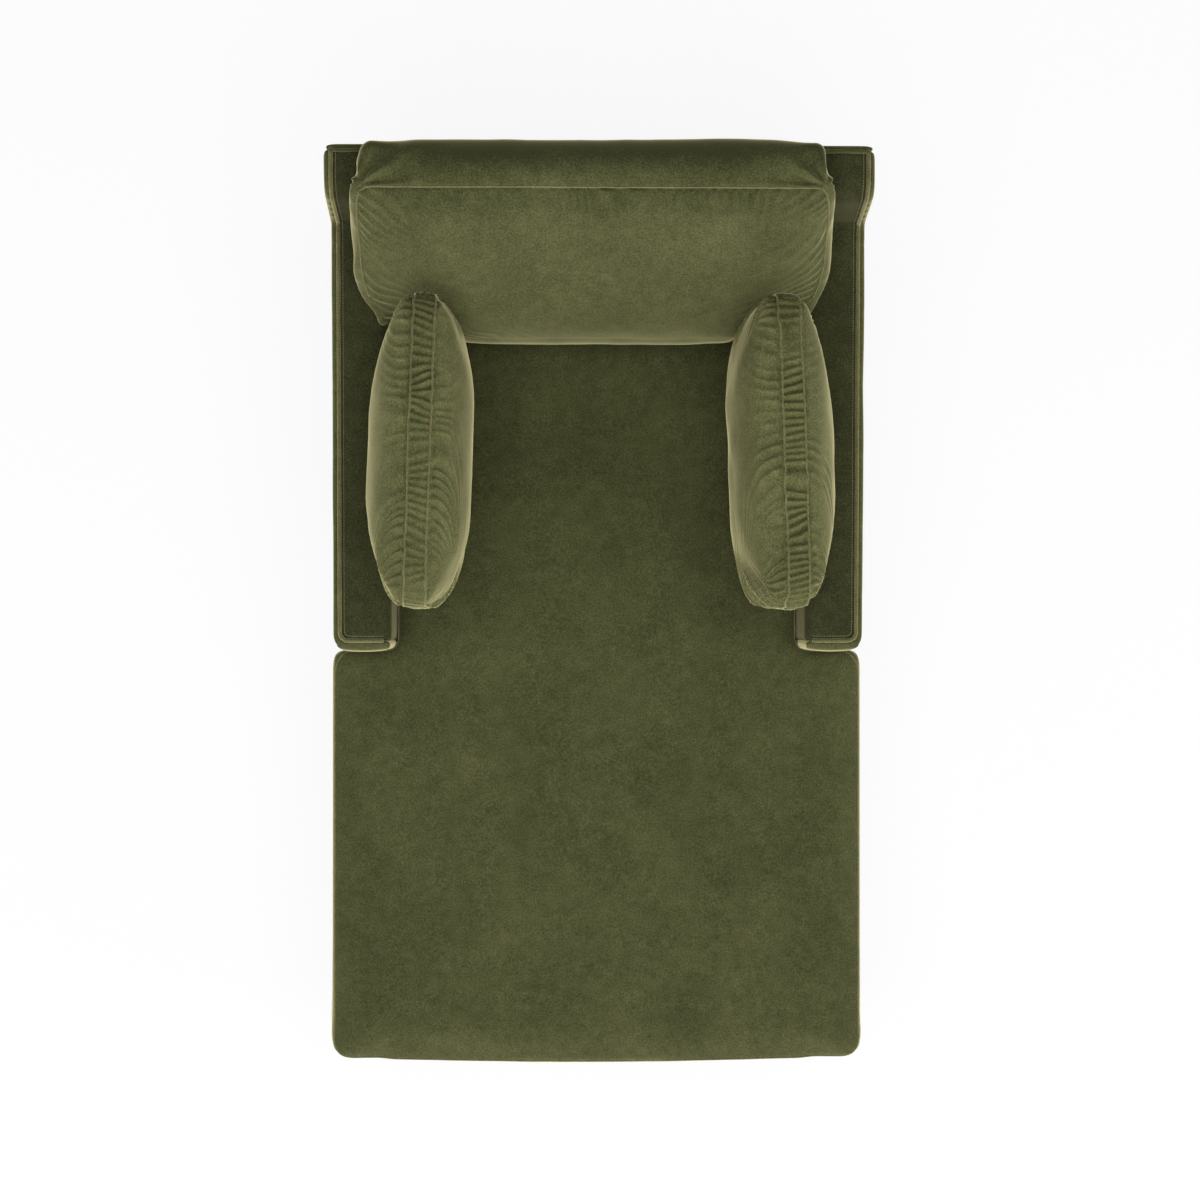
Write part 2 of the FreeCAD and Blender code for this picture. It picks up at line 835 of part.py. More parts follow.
def cross_strap_places():
    """Middles of the straps that run from ledger to ledger, clear of the arm posts."""
    post_front = arm_front_y + arm_frame_inset + part_gap
    clear = strap_width / 2 + part_gap
    front = rail_front_y + rail_thickness + strap_width
    rear = post_front_y(frame_top) - strap_width
    ahead = spread(front, post_front - clear, cross_strap_pitch)
    behind = spread(post_front + arm_post_depth + clear, rear, cross_strap_pitch)
    return ahead + behind


def cross_straps():
    low = frame_top
    return group(
        block(-ply_inner_x, ply_inner_x, y - strap_width / 2, y + strap_width / 2, low, low + strap_thickness)
        for y in cross_strap_places()
    )


def long_strap_places():
    reach = arm_inner_x - strap_width
    return spread(-reach, reach, long_strap_pitch)


def long_straps():
    """Straps from the front rail to the rear rail, woven over and under the cross straps."""
    shapes = []
    ease = strap_width / 2 + strap_thickness
    for i, x in enumerate(long_strap_places()):
        line = [(rail_front_y, 0.0), (rail_front_y + rail_thickness, 0.0)]
        for j, y in enumerate(cross_strap_places()):
            level = strap_thickness if (i + j) % 2 else -strap_thickness
            line += [(y - ease, level), (y + ease, level)]
        line += [(rail_back_y - rail_thickness, 0.0), (rail_back_y, 0.0)]
        lower = [(y, frame_top + level) for y, level in line]
        upper = [(y, z + strap_thickness) for y, z in reversed(lower)]
        strip = lower + upper
        shapes.append(across(strip, [0] * len(strip), x - strap_width / 2, x + strap_width / 2))
    return group(shapes)


def back_straps():
    """Straps up the front of the back, from the lower rail to the upper rail."""
    heights = back_rail_heights()
    low, high = heights[0][0], heights[1][1]
    profile = [
        (post_front_y(low) - strap_thickness, low),
        (post_front_y(high) - strap_thickness, high),
        (post_front_y(high), high),
        (post_front_y(low), low),
    ]
    reach = arm_inner_x - strap_width
    return group(
        across(profile, [0] * 4, x - strap_width / 2, x + strap_width / 2)
        for x in spread(-reach, reach, back_strap_pitch)
    )


def deck_sheet(low, high):
    """Deck: wide under the front of the seat, narrow between the arms."""
    wide, narrow = ply_outer_x, arm_inner_x + deck_tuck
    rear = inside_back_y(deck_height) + deck_tuck
    corners = [
        (-wide, rail_front_y),
        (wide, rail_front_y),
        (wide, arm_front_y),
        (narrow, arm_front_y),
        (narrow, rear),
        (-narrow, rear),
        (-narrow, arm_front_y),
        (-wide, arm_front_y),
    ]
    return slab(corners, [0] * 8, in_xy(low), Vector(0, 0, high - low))


def deck_cover():
    return deck_sheet(deck_height - cover_thickness, deck_height)


def deck_pad():
    top = deck_height - cover_thickness
    return deck_sheet(top - deck_pad_thickness, top)


# Base cover and dust cover
def base_band(outer_inset, inner_inset, inner_round, top):
    """Band round the front and both sides of the base, ahead of the arms."""
    rear = arm_front_y - front_pad - part_gap
    corners = [
        (-base_side_x, rear),
        (-base_side_x, base_front_y),
        (base_side_x, base_front_y),
        (base_side_x, rear),
    ]
    rounds = [0, arm_corner_round, arm_corner_round, 0]
    inner_rounds = [0, inner_round, inner_round, 0]
    height = Vector(0, 0, top - base_bottom)
    outer = slab(corners, rounds, in_xy(base_bottom), height, [outer_inset] * 3 + [0.0])
    inner = slab(corners, inner_rounds, in_xy(base_bottom), height, [inner_inset] * 3 + [-1.0])
    return outer.cut(inner)


def base_cover():
    """Velvet round the base, ahead of the arms."""
    return base_band(0.0, cover_thickness, arm_corner_round, deck_height)


def base_foam_band():
    depth = base_side_x - ply_outer_x - part_gap
    return base_band(cover_thickness + foam_ease, depth, 0, frame_top)


def dust_cover():
    """Black cloth that closes the underside, slit for the leg bolts."""
    rear = seam_y(base_bottom) - part_gap
    corners = [
        (-ply_outer_x, rail_front_y),
        (ply_outer_x, rail_front_y),
        (ply_outer_x, rear),
        (-ply_outer_x, rear),
    ]
    low, slit = frame_bottom - dust_cover_thickness, bolt_radius + bolt_clearance
    sheet = slab(corners, [0] * 4, in_xy(low), Vector(0, 0, dust_cover_thickness))
    for x, y in leg_places().values():
        sheet = sheet.cut(block(x - slit, x + slit, y - slit, y + slit, low, frame_bottom))
    return sheet


# Legs
def leg(x, y):
    """Square leg with eased corners that tapers to its foot."""
    top = frame_bottom - dust_cover_thickness
    wide, narrow = leg_top_width / 2, leg_foot_width / 2
    taper = [(-narrow, glide_thickness), (narrow, glide_thickness), (wide, top), (-wide, top)]
    sides = slab(taper, [0] * 4, in_yz(-wide), Vector(leg_top_width, 0, 0))
    faces = slab(taper, [0] * 4, in_xz(-wide), Vector(0, leg_top_width, 0))
    body = chamfered_where(sides.common(faces), leg_chamfer, lambda e: e.BoundBox.ZLength > leg_foot_width)
    hole = Part.makeCylinder(bolt_radius, bolt_grip, Vector(0, 0, top - bolt_grip))
    return body.cut(hole).translated(Vector(x, y, 0))


def leg_bolts():
    """Hanger bolts, screwed into the legs and up through the corner blocks."""
    low = frame_bottom - dust_cover_thickness - bolt_grip
    length = bolt_grip + dust_cover_thickness + corner_block_depth + nut_thickness + bolt_rise
    return group(
        Part.makeCylinder(bolt_radius, length, Vector(x, y, low)) for x, y in leg_places().values()
    )


def leg_nuts():
    """Square nuts that draw the legs up against the corner blocks."""
    low, half = frame_bottom + corner_block_depth, nut_width / 2
    shapes = []
    for x, y in leg_places().values():
        nut = block(x - half, x + half, y - half, y + half, low, low + nut_thickness)
        shapes.append(nut.cut(Part.makeCylinder(bolt_radius, nut_thickness, Vector(x, y, low))))
    return group(shapes)


def leg_glides():
    """Square felt glides under the legs."""
    half = glide_width / 2
    return group(
        block(x - half, x + half, y - half, y + half, 0, glide_thickness) for x, y in leg_places().values()
    )


# Cushions and pillows
def seat_corners():
    """Corners of the T-shaped seat cushion and the round of each, from the peak of its front bow."""
    wide = half_width + seat_overhang
    narrow = arm_inner_x - seat_side_gap
    ear = arm_front_y - front_pad - seat_ear_gap
    rear = inside_back_y(deck_height) - seat_back_gap
    rounding = seat_bow_radius * (math.hypot(1.0, seat_front_bow / wide) - 1)
    peak_y = front_y - rounding
    corner_y = peak_y + seat_front_bow
    side = [
        (wide, corner_y, seat_front_round),
        (wide, ear, seat_ear_round),
        (narrow, ear, seat_inner_round),
        (narrow, rear, seat_rear_round),
    ]
    loop = [(0.0, peak_y, seat_bow_radius)] + side + [(-x, y, r) for x, y, r in reversed(side)]
    return [(x, y) for x, y, r in loop], [r for x, y, r in loop]


def crowned_section(low, high, place, run, inset, fuller):
    """Section of the seat cushion: boxing bowed between its seams and a crowned top."""
    bottom, top = seat_bottom + inset, seat_top - seat_crown_swell - inset
    seam_low, seam_high = seat_bottom + seat_boxing_low, seat_bottom + seat_boxing_high
    left, right = low + seat_side_bow + inset, high - seat_side_bow - inset
    points = [
        (left + seat_boxing_low, bottom),
        (right - seat_boxing_low, bottom),
        (right, seam_low),
        (right, seam_high),
        (right - seat_crown_run, top),
        (left + seat_crown_run, top),
        (left, seam_high),
        (left, seam_low),
    ]
    side, run_swell, swell = seat_side_bow, seat_seam_swell, seat_crown_swell + fuller
    rises = [0, 0, side, run_swell, swell, run_swell, side, 0]
    return bowed_slab(points, rises, place, run)


def seat_form(inset):
    """Seat cushion: its plan met by a crowned section along it and one across it."""
    corners, rounds = seat_corners()
    wide, rear = corners[1][0], corners[4][1]
    plan = slab(corners, rounds, in_xy(seat_bottom), Vector(0, 0, seat_top - seat_bottom), inset)
    length = Vector(0, rear - front_y, 0)
    crosswise = crowned_section(-wide, wide, in_xz(front_y), length, inset, 0.0)
    breadth = Vector(2 * wide, 0, 0)
    lengthwise = crowned_section(front_y, rear, in_yz(-wide), breadth, inset, seat_fullness)
    return plan.common(crosswise).common(lengthwise)


def left_arm_room(gap):
    """Room that the left arm and shoulder take up, grown by gap."""
    return across(arm_profile(deck_height), arm_profile_rounds, -half_width, -(arm_inner_x - gap), -gap)


def back_cushion_form(inset):
    """Back cushion: its side view, full and low in front and slumped over the back, met by its
    front view, which spreads above the arms, and its plan, dented by the arms and the pillows."""
    tight = arm_inner_x - back_cushion_side_gap
    wide = tight + back_cushion_wing
    bottom, top = back_cushion_base, back_cushion_top
    over_arm = arm_rear_height + welt_radius
    over_back = shoulder_height + 2 * welt_radius + back_cushion_lean_gap
    belly_z = bottom + back_cushion_belly_height
    belly_y = inside_back_y(belly_z) - back_cushion_lean_gap - back_cushion_belly
    top_rear = back_seam_y - welt_radius
    side_view = [
        (inside_back_y(bottom) - back_cushion_lean_gap, bottom),
        (inside_back_y(over_back) - back_cushion_lean_gap, over_back),
        (top_rear, over_back),
        (top_rear, top),
        (top_rear - back_cushion_boxing, top),
        (belly_y, belly_z),
        (belly_y + back_cushion_chin_round / 2, bottom),
    ]
    seam, rear = back_cushion_seam_round, back_cushion_rear_round
    side_rounds = [rear, 0, rear, rear, seam, back_cushion_belly_round, back_cushion_chin_round]
    front_view = [
        (-tight, bottom),
        (tight, bottom),
        (tight, over_arm),
        (wide, over_arm + back_cushion_wing_rise),
        (wide, top),
        (-wide, top),
        (-wide, over_arm + back_cushion_wing_rise),
        (-tight, over_arm),
    ]
    front_rounds = [rear, rear, 0, back_cushion_round, rear, rear, back_cushion_round, 0]
    plan = [
        (0, belly_y),
        (tight, belly_y + back_cushion_bow),
        (wide, belly_y + back_cushion_wing_run),
        (wide, top_rear),
        (-wide, top_rear),
        (-wide, belly_y + back_cushion_wing_run),
        (-tight, belly_y + back_cushion_bow),
    ]
    corner = back_cushion_round
    plan_rounds = [back_bow_radius, corner, corner, rear, rear, corner, corner]
    form = across(side_view, side_rounds, -wide, wide, inset)
    depth = Vector(0, top_rear - belly_y, 0)
    form = form.common(slab(front_view, front_rounds, in_xz(belly_y), depth, inset))
    form = form.common(slab(plan, plan_rounds, in_xy(bottom), Vector(0, 0, top - bottom), inset))
    arms = both_sides(left_arm_room(back_cushion_lean_gap + inset))
    pillows = both_sides(left_pillow_room(pillow_dent_gap + inset))
    for room in [*arms, *pillows]:
        form = form.cut(room)
    return form


def pillow_corners():
    """Corners of a pillow's face, bowed along each side."""
    far, high = pillow_length / 2, pillow_height / 2
    return [
        (-far + pillow_bow, -high + pillow_bow),
        (0, -high),
        (far - pillow_bow, -high + pillow_bow),
        (far, 0),
        (far - pillow_bow, high - pillow_bow),
        (0, high),
        (-far + pillow_bow, high - pillow_bow),
        (-far, 0),
    ]


def placed_pillow(form):
    """Stands a pillow made about its middle on the seat, against the left arm."""
    form.translate(Vector(0, 0, pillow_height / 2))
    form.rotate(Vector(0, 0, 0), Vector(0, 1, 0), -pillow_lean)
    form.rotate(Vector(0, 0, 0), Vector(0, 0, 1), -pillow_turn)
    sink = pillow_height / 2 * math.tan(math.radians(pillow_lean))
    middle = inside_back_y(deck_height) - pillow_setback
    form.translate(Vector(-pillow_offset + sink, middle, seat_top + pillow_lift))
    return form


def pillow_lens(reach, inset, place, run, fuller):
    """Lens crowned from the boxing towards the sitter and, more, towards the arm."""
    seam = pillow_boxing / 2 - inset
    corners = [(-seam, -reach), (seam, -reach), (seam, reach), (-seam, reach)]
    rises = [0, pillow_inner_crown + fuller, 0, pillow_outer_crown + fuller]
    return bowed_slab(corners, rises, place, run)


def left_pillow_room(gap):
    """Room that the left pillow passes through as it is lifted: its plan, grown by gap."""
    far, high = pillow_length / 2 + gap, pillow_height / 2
    return placed_pillow(pillow_lens(far, -gap, in_xy(-high), Vector(0, 0, 2 * high), pillow_fullness))


def left_pillow_form(inset):
    """Left pillow: its face met by a lens along it and one up it, dented by the arm it leans on."""
    far, high, seam = pillow_length / 2 - inset, pillow_height / 2 - inset, pillow_boxing / 2 - inset
    outer, inner = seam + pillow_outer_crown, seam + pillow_inner_crown
    rounds = [pillow_round, pillow_bow_radius] * 4
    face = slab(pillow_corners(), rounds, in_yz(-outer), Vector(outer + inner, 0, 0), inset)
    along = pillow_lens(far, inset, in_xy(-high), Vector(0, 0, 2 * high), pillow_fullness)
    upwards = pillow_lens(high, inset, in_xz(-far), Vector(0, 2 * far, 0), 0.0)
    return placed_pillow(face.common(along).common(upwards)).cut(left_arm_room(pillow_arm_gap + inset))


def cover_of(form):
    """Sewn cover, hollow for its filling."""
    return form(0.0).cut(form(cover_thickness))


def filling_of(form):
    return form(cover_thickness + filling_ease)


def build():
    """Every piece of the chaise, by name."""
    tenons = loose_tenons()
    lower, upper = back_rail_heights()
    lefts = {
        "side_panel": left_side_panel(),
        "side_rail": mortised(left_side_rail(), tenons),
        "arm_post": left_arm_post(),
        "arm_rail": left_arm_rail(),
        "back_post": mortised(left_back_post(), tenons),
        "arm_foam": left_arm_foam(),
        "arm_cover": left_arm_cover(),
        "outside_panel": left_outside_panel(),
        "arm_welt": left_arm_welt(),
        "pillow_cover": cover_of(left_pillow_form),
        "pillow_filling": filling_of(left_pillow_form),
    }
    pieces = {
        "front_rail": front_rail(),
        "rear_rail": rear_rail(),
        "cross_rails": mortised(cross_rails(), tenons),
        "corner_blocks": corner_blocks(),
        "back_lower_rail": mortised(back_rail(*lower), tenons),
        "back_top_rail": mortised(back_rail(*upper), tenons),
        "loose_tenons": tenons,
        "cross_straps": cross_straps(),
        "long_straps": long_straps(),
        "back_straps": back_straps(),
        "deck_pad": deck_pad(),
        "deck_cover": deck_cover(),
        "back_foam": back_foam_pad(),
        "back_cover": back_cover(),
        "back_welt": back_welt(),
        "outside_back": outside_back(),
        "base_foam": base_foam_band(),
        "base_cover": base_cover(),
        "dust_cover": dust_cover(),
        "leg_bolts": leg_bolts(),
        "leg_nuts": leg_nuts(),
        "leg_glides": leg_glides(),
        "seat_cushion_cover": cover_of(seat_form),
        "seat_cushion_filling": filling_of(seat_form),
        "back_cushion_cover": cover_of(back_cushion_form),
        "back_cushion_filling": filling_of(back_cushion_form),
    }
    for name, (x, y) in leg_places().items():
        pieces[name] = leg(x, y)
    for name, shape in lefts.items():
        pieces["left_" + name] = shape
        pieces["right_" + name] = mirrored(shape)
    return pieces


def main():
    os.makedirs("parts", exist_ok=True)
    for name, shape in build().items():
        solids = shape.Solids
        sound = shape.isValid() and len(solids) > 0
        volume = sum(s.Volume for s in solids)
        print(f"{name}: {len(solids)} solids, {volume / 1000:.1f} cm3, sound {sound}")
        shape.exportStep(f"parts/{name}.step")


main()
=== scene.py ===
"""Dresses the chaise longue: velvet upholstery, stuffed cushions, piping, timber and studio."""

import json
import logging
import math
from collections.abc import Callable, Sequence
from dataclasses import dataclass, field
from enum import Enum

import bmesh
import bpy
import numpy as np
from mathutils import Matrix, Vector
from mathutils.bvhtree import BVHTree


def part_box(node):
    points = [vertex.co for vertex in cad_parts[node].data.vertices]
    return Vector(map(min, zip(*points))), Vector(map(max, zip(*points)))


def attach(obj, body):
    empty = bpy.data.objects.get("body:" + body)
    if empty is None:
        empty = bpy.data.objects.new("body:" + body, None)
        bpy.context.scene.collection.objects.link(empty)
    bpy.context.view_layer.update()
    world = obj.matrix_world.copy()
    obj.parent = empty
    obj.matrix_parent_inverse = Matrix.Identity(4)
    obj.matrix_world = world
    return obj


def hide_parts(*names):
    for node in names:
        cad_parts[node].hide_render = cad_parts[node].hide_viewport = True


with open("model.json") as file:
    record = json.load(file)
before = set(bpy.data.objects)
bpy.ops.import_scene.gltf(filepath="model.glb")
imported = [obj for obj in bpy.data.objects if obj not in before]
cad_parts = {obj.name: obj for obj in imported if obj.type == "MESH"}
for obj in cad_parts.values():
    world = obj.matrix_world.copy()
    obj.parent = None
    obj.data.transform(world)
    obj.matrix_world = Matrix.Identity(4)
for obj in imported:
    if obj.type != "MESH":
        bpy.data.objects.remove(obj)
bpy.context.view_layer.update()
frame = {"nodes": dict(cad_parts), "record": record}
LOG = logging.getLogger("chaise")

Array = np.ndarray
Point = tuple[float, float]
Place = tuple[float, float, float]
Colour = tuple[float, float, float]
Piece = bpy.types.Object
Socket = bpy.types.NodeSocket

MERGE = 1e-6  # vertices closer than this are one
TOUCH = 1e-4  # corners closer than this lie on one line
TINY = 1e-9  # keeps a division off zero
UPRIGHT = 0.1  # an edge that runs further than this one way is a long one
BEND_STEPS = 6  # faces round a small bend
SHOULDER_STEPS = 10  # faces round the shoulder
FACING = (0.6, 0.95)  # how squarely padded faces look one way, from not at all to fully
LEVEL = (0.5, 0.9)  # how squarely a top looks up, from not at all to fully
SEAM_STEP = 0.006  # spacing of the points along a seam
WHITE = (1.0, 1.0, 1.0, 1.0)


class Side(Enum):
    """The two sides of the chaise, with the sign of their X."""

    LEFT = -1
    RIGHT = 1

    @property
    def word(self) -> str:
        """Name of the side as the pieces use it."""
        return self.name.lower()


# Meshes


def add_object(name: str, data: bpy.types.ID) -> Piece:
    """Puts a mesh, curve, light or camera in the scene as an object at the origin.

    Args:
        name: name of the object.
        data: what it shows; a finished mesh has its place in it.

    Returns:
        The new object.
    """
    piece = bpy.data.objects.new(name, data)
    bpy.context.scene.collection.objects.link(piece)
    return piece


def from_bmesh(name: str, bm: bmesh.types.BMesh) -> Piece:
    """Turns a bmesh into a smooth piece with outward faces.

    Args:
        name: name of the piece.
        bm: the modelled shape, freed here.

    Returns:
        The new object.
    """
    bmesh.ops.remove_doubles(bm, verts=bm.verts, dist=MERGE)
    bmesh.ops.recalc_face_normals(bm, faces=bm.faces)
    for face in bm.faces:
        face.smooth = True
    mesh = bpy.data.meshes.new(name)
    bm.to_mesh(mesh)
    bm.free()
    return add_object(name, mesh)


def from_mesh(name: str, mesh: bpy.types.Mesh) -> Piece:
    """Turns a passing mesh into a piece.

    Args:
        name: name of the piece.
        mesh: the shape, removed here.

    Returns:
        The new object.
    """
    bm = bmesh.new()
    bm.from_mesh(mesh)
    bpy.data.meshes.remove(mesh)
    return from_bmesh(name, bm)


def node_copy(node: str, name: str) -> Piece:
    """Copies a solid of the frame as a merged mesh.

    Args:
        node: name of the solid.
        name: name of the new piece.

    Returns:
        The new object.
    """
    bm = bmesh.new()
    bm.from_mesh(frame["nodes"][node].data)
    return from_bmesh(name, bm)


def bake_modifiers(piece: Piece) -> None:
    """Applies every modifier of a piece to its mesh.

    Args:
        piece: piece with modifiers.
    """
    graph = bpy.context.evaluated_depsgraph_get()
    made = bpy.data.meshes.new_from_object(piece.evaluated_get(graph))
    old = piece.data
    piece.modifiers.clear()
    piece.data = made
    made.name = piece.name
    bpy.data.meshes.remove(old)
    made.shade_smooth()


def voxel_remesh(piece: Piece, size: float) -> None:
    """Rebuilds a closed piece as even quads.

    Args:
        piece: closed piece.
        size: size of the quads.
    """
    remesh = piece.modifiers.new("Remesh", "REMESH")
    remesh.mode = "VOXEL"
    remesh.voxel_size = size
    bake_modifiers(piece)


def subdivide(piece: Piece) -> None:
    """Subdivides a piece smoothly, once.

    Args:
        piece: piece of quads.
    """
    smooth = piece.modifiers.new("Subdivision", "SUBSURF")
    smooth.levels = 1
    smooth.render_levels = 1
    bake_modifiers(piece)


def relax(piece: Piece, rounds: int) -> None:
    """Smooths a piece's vertices, to take the steps out of a remesh.

    Args:
        piece: piece to smooth.
        rounds: how often each vertex moves half-way to the middle of its neighbours.
    """
    bm = bmesh.new()
    bm.from_mesh(piece.data)
    for _ in range(rounds):
        bmesh.ops.smooth_vert(
            bm, verts=bm.verts, factor=0.5, use_axis_x=True, use_axis_y=True, use_axis_z=True
        )
    bm.to_mesh(piece.data)
    bm.free()


def places(piece: Piece) -> Array:
    """Reads the places of a piece's vertices.

    Args:
        piece: piece to read.

    Returns:
        One row for each vertex.
    """
    flat = np.empty(len(piece.data.vertices) * 3)
    piece.data.vertices.foreach_get("co", flat)
    return flat.reshape(-1, 3)


def normals(piece: Piece) -> Array:
    """Reads the normals of a piece's vertices.

    Args:
        piece: piece to read.

    Returns:
        One row for each vertex.
    """
    flat = np.empty(len(piece.data.vertices) * 3)
    piece.data.vertex_normals.foreach_get("vector", flat)
    return flat.reshape(-1, 3)


def set_places(piece: Piece, rows: Array) -> None:
    """Moves a piece's vertices to the given rows."""
    piece.data.vertices.foreach_set("co", rows.ravel())
    piece.data.update()


def push_out(piece: Piece, rows: Array, out: Array, amount: Array) -> None:
    """Moves a piece's vertices from the given rows along their normals by an amount each."""
    set_places(piece, rows + out * amount[:, None])


def smooth_step(low: float, high: float, value: Array) -> Array:
    """Rises smoothly from 0 at low to 1 at high."""
    share = np.clip((value - low) / (high - low), 0.0, 1.0)
    return share * share * (3 - 2 * share)


def hump(share: Array) -> Array:
    """Rises from 0 to 1 in the middle of 0..1 and falls back to 0."""
    return np.clip(4 * share * (1 - share), 0, 1)


def stacked(*columns: Array | float) -> Array:
    """Rows of points from three columns, each an array or one number for all."""
    return np.stack(np.broadcast_arrays(*columns), axis=1)


def lattice_value(cell: Array) -> Array:
    """Scatters whole-number places by large primes, to a fixed value for each.

    Args:
        cell: whole numbers, one row of three each.

    Returns:
        One number in -1..1 for each row.
    """
    mixed = cell[:, 0] * 73856093 ^ cell[:, 1] * 19349663 ^ cell[:, 2] * 83492791
    mixed = (mixed ^ (mixed >> 13)) * 1274126177 & 0x7FFFFFFF
    return ((mixed ^ (mixed >> 16)) & 0xFFFF) / 32767.5 - 1.0


def noise_at(rows: Array, scale: float, seed: float) -> Array:
    """Smooth noise in -1..1 at each row.

    Args:
        rows: points, one row of three numbers each.
        scale: waves per metre.
        seed: shifts the pattern.

    Returns:
        One number for each row.
    """
    spots = rows * scale + np.array([seed, seed * 1.7, -seed * 0.6])
    cell = np.floor(spots).astype(np.int64)
    part = spots - cell
    ease_in = part * part * (3 - 2 * part)
    total = np.zeros(len(rows))
    for corner in np.ndindex(2, 2, 2):
        weight = np.prod(np.where(corner, ease_in, 1 - ease_in), axis=1)
        total += weight * lattice_value(cell + np.array(corner))
    return total


def round_upright(rows: Array, x: float, y: Array | float, ways: Point, radius: float) -> Array:
    """Rounds an upright corner on both sides of the chaise.

    Args:
        rows: points, one row each.
        x: distance of the arc's middle from the chaise's middle.
        y: place of the arc's middle along the chaise, for all points or for each.
        ways: signs of the corner's ways out, across and along the chaise.
        radius: radius of the arc.

    Returns:
        The points, with those past the arc drawn in to it.
    """
    across = ways[0] * (np.abs(rows[:, 0]) - x)
    along = ways[1] * (rows[:, 1] - y)
    far = np.hypot(across, along)
    past = (across > 0) & (along > 0) & (far > radius)
    scale = np.where(past, radius / np.maximum(far, TINY), 1.0)
    made = rows.copy()
    made[:, 0] = np.sign(rows[:, 0]) * (x + ways[0] * across * scale)
    made[:, 1] = y + ways[1] * along * scale
    return made


def corner_arc(
    before: Vector, corner: Vector, after: Vector, radius: float, step: float
) -> list[Vector]:
    """Arc that rounds one corner of a path.

    Args:
        before: corner ahead of it.
        corner: the corner.
        after: corner that follows it.
        radius: radius of the arc.
        step: spacing of the points.

    Returns:
        Points from one end of the arc to the other.
    """
    back = (before - corner).normalized()
    on = (after - corner).normalized()
    half = back.angle(on) / 2
    start = corner + back * (radius / math.tan(half))
    centre = corner + (back + on).normalized() * (radius / math.sin(half))
    out = (start - centre).normalized()
    turn = math.pi - 2 * half
    count = max(4, math.ceil(turn * radius / step))
    angles = [turn * k / count for k in range(count + 1)]
    return [centre + (out * math.cos(a) - back * math.sin(a)) * radius for a in angles]


def rounded_path(corners: Sequence[Vector], rounds: Sequence[float], step: float) -> list[Vector]:
    """Points along straight runs joined by arcs.

    Args:
        corners: corners of the path, ends included.
        rounds: radius at each corner, 0 for none.
        step: spacing of the points.

    Returns:
        Points from the first corner to the last.
    """
    points = [corners[0].copy()]
    for i in range(1, len(corners)):
        arc = [corners[i].copy()]
        if i < len(corners) - 1 and rounds[i] > 0:
            arc = corner_arc(corners[i - 1], corners[i], corners[i + 1], rounds[i], step)
        first = points[-1]
        run = arc[0] - first
        count = max(1, round(run.length / step))
        points += [first + run * (k / count) for k in range(1, count)]
        points += arc
    return points


def resample(line: Sequence[Vector], step: float, closed: bool = False) -> list[Vector]:
    """Even places along a line of points.

    Args:
        line: points of the line.
        step: spacing of the result.
        closed: whether the line joins its own start.

    Returns:
        The evenly spaced points.
    """
    rows = np.array([*line, line[0]] if closed else list(line))
    runs = np.linalg.norm(np.diff(rows, axis=0), axis=1)
    length = np.concatenate([[0.0], np.cumsum(runs)])
    count = max(2, round(length[-1] / step))
    goals = np.linspace(0.0, length[-1], count + (0 if closed else 1), endpoint=not closed)
    return [Vector(np.interp(goal, length, rows[:, k]) for k in range(3)) for goal in goals]


def ease(points: Sequence[Vector], rounds: int, closed: bool) -> list[Vector]:
    """Takes the jitter out of a line of points.

    Args:
        points: points of the line.
        rounds: how often each point moves towards its neighbours.
        closed: whether the line joins its own start.

    Returns:
        The calmer points.
    """
    rows = np.array(points)
    for _ in range(rounds):
        before, after = np.roll(rows, 1, axis=0), np.roll(rows, -1, axis=0)
        calm = 0.5 * rows + 0.25 * (before + after)
        if not closed:
            calm[0], calm[-1] = rows[0], rows[-1]
        rows = calm
    return [Vector(row) for row in rows]


def tube_along(name: str, points: Sequence[Vector], radius: float, closed: bool = False) -> Piece:
    """Round cord of cloth along a line of points.

    Args:
        name: name of the piece.
        points: middle line of the cord.
        radius: radius of the cord.
        closed: whether the line joins its own start.

    Returns:
        The new object.
    """
    curve = bpy.data.curves.new(name, "CURVE")
    curve.dimensions = "3D"
    curve.bevel_depth = radius
    curve.bevel_resolution = 3
    curve.use_fill_caps = not closed
    spline = curve.splines.new("POLY")
    spline.points.add(len(points) - 1)
    for place, point in zip(spline.points, points):
        place.co = (*point, 1.0)
    spline.use_cyclic_u = closed
    holder = add_object(name + "_line", curve)
    graph = bpy.context.evaluated_depsgraph_get()
    mesh = bpy.data.meshes.new_from_object(holder.evaluated_get(graph))
    bpy.data.objects.remove(holder)
    bpy.data.curves.remove(curve)
    return from_mesh(name, mesh)


@dataclass(frozen=True)
class Stitch:
    """Size of a sewn stitch."""

    pitch: float = 0.0042
    length: float = 0.0032
    thickness: float = 0.00065
    flatness: float = 0.8
    rise: float = 0.0002


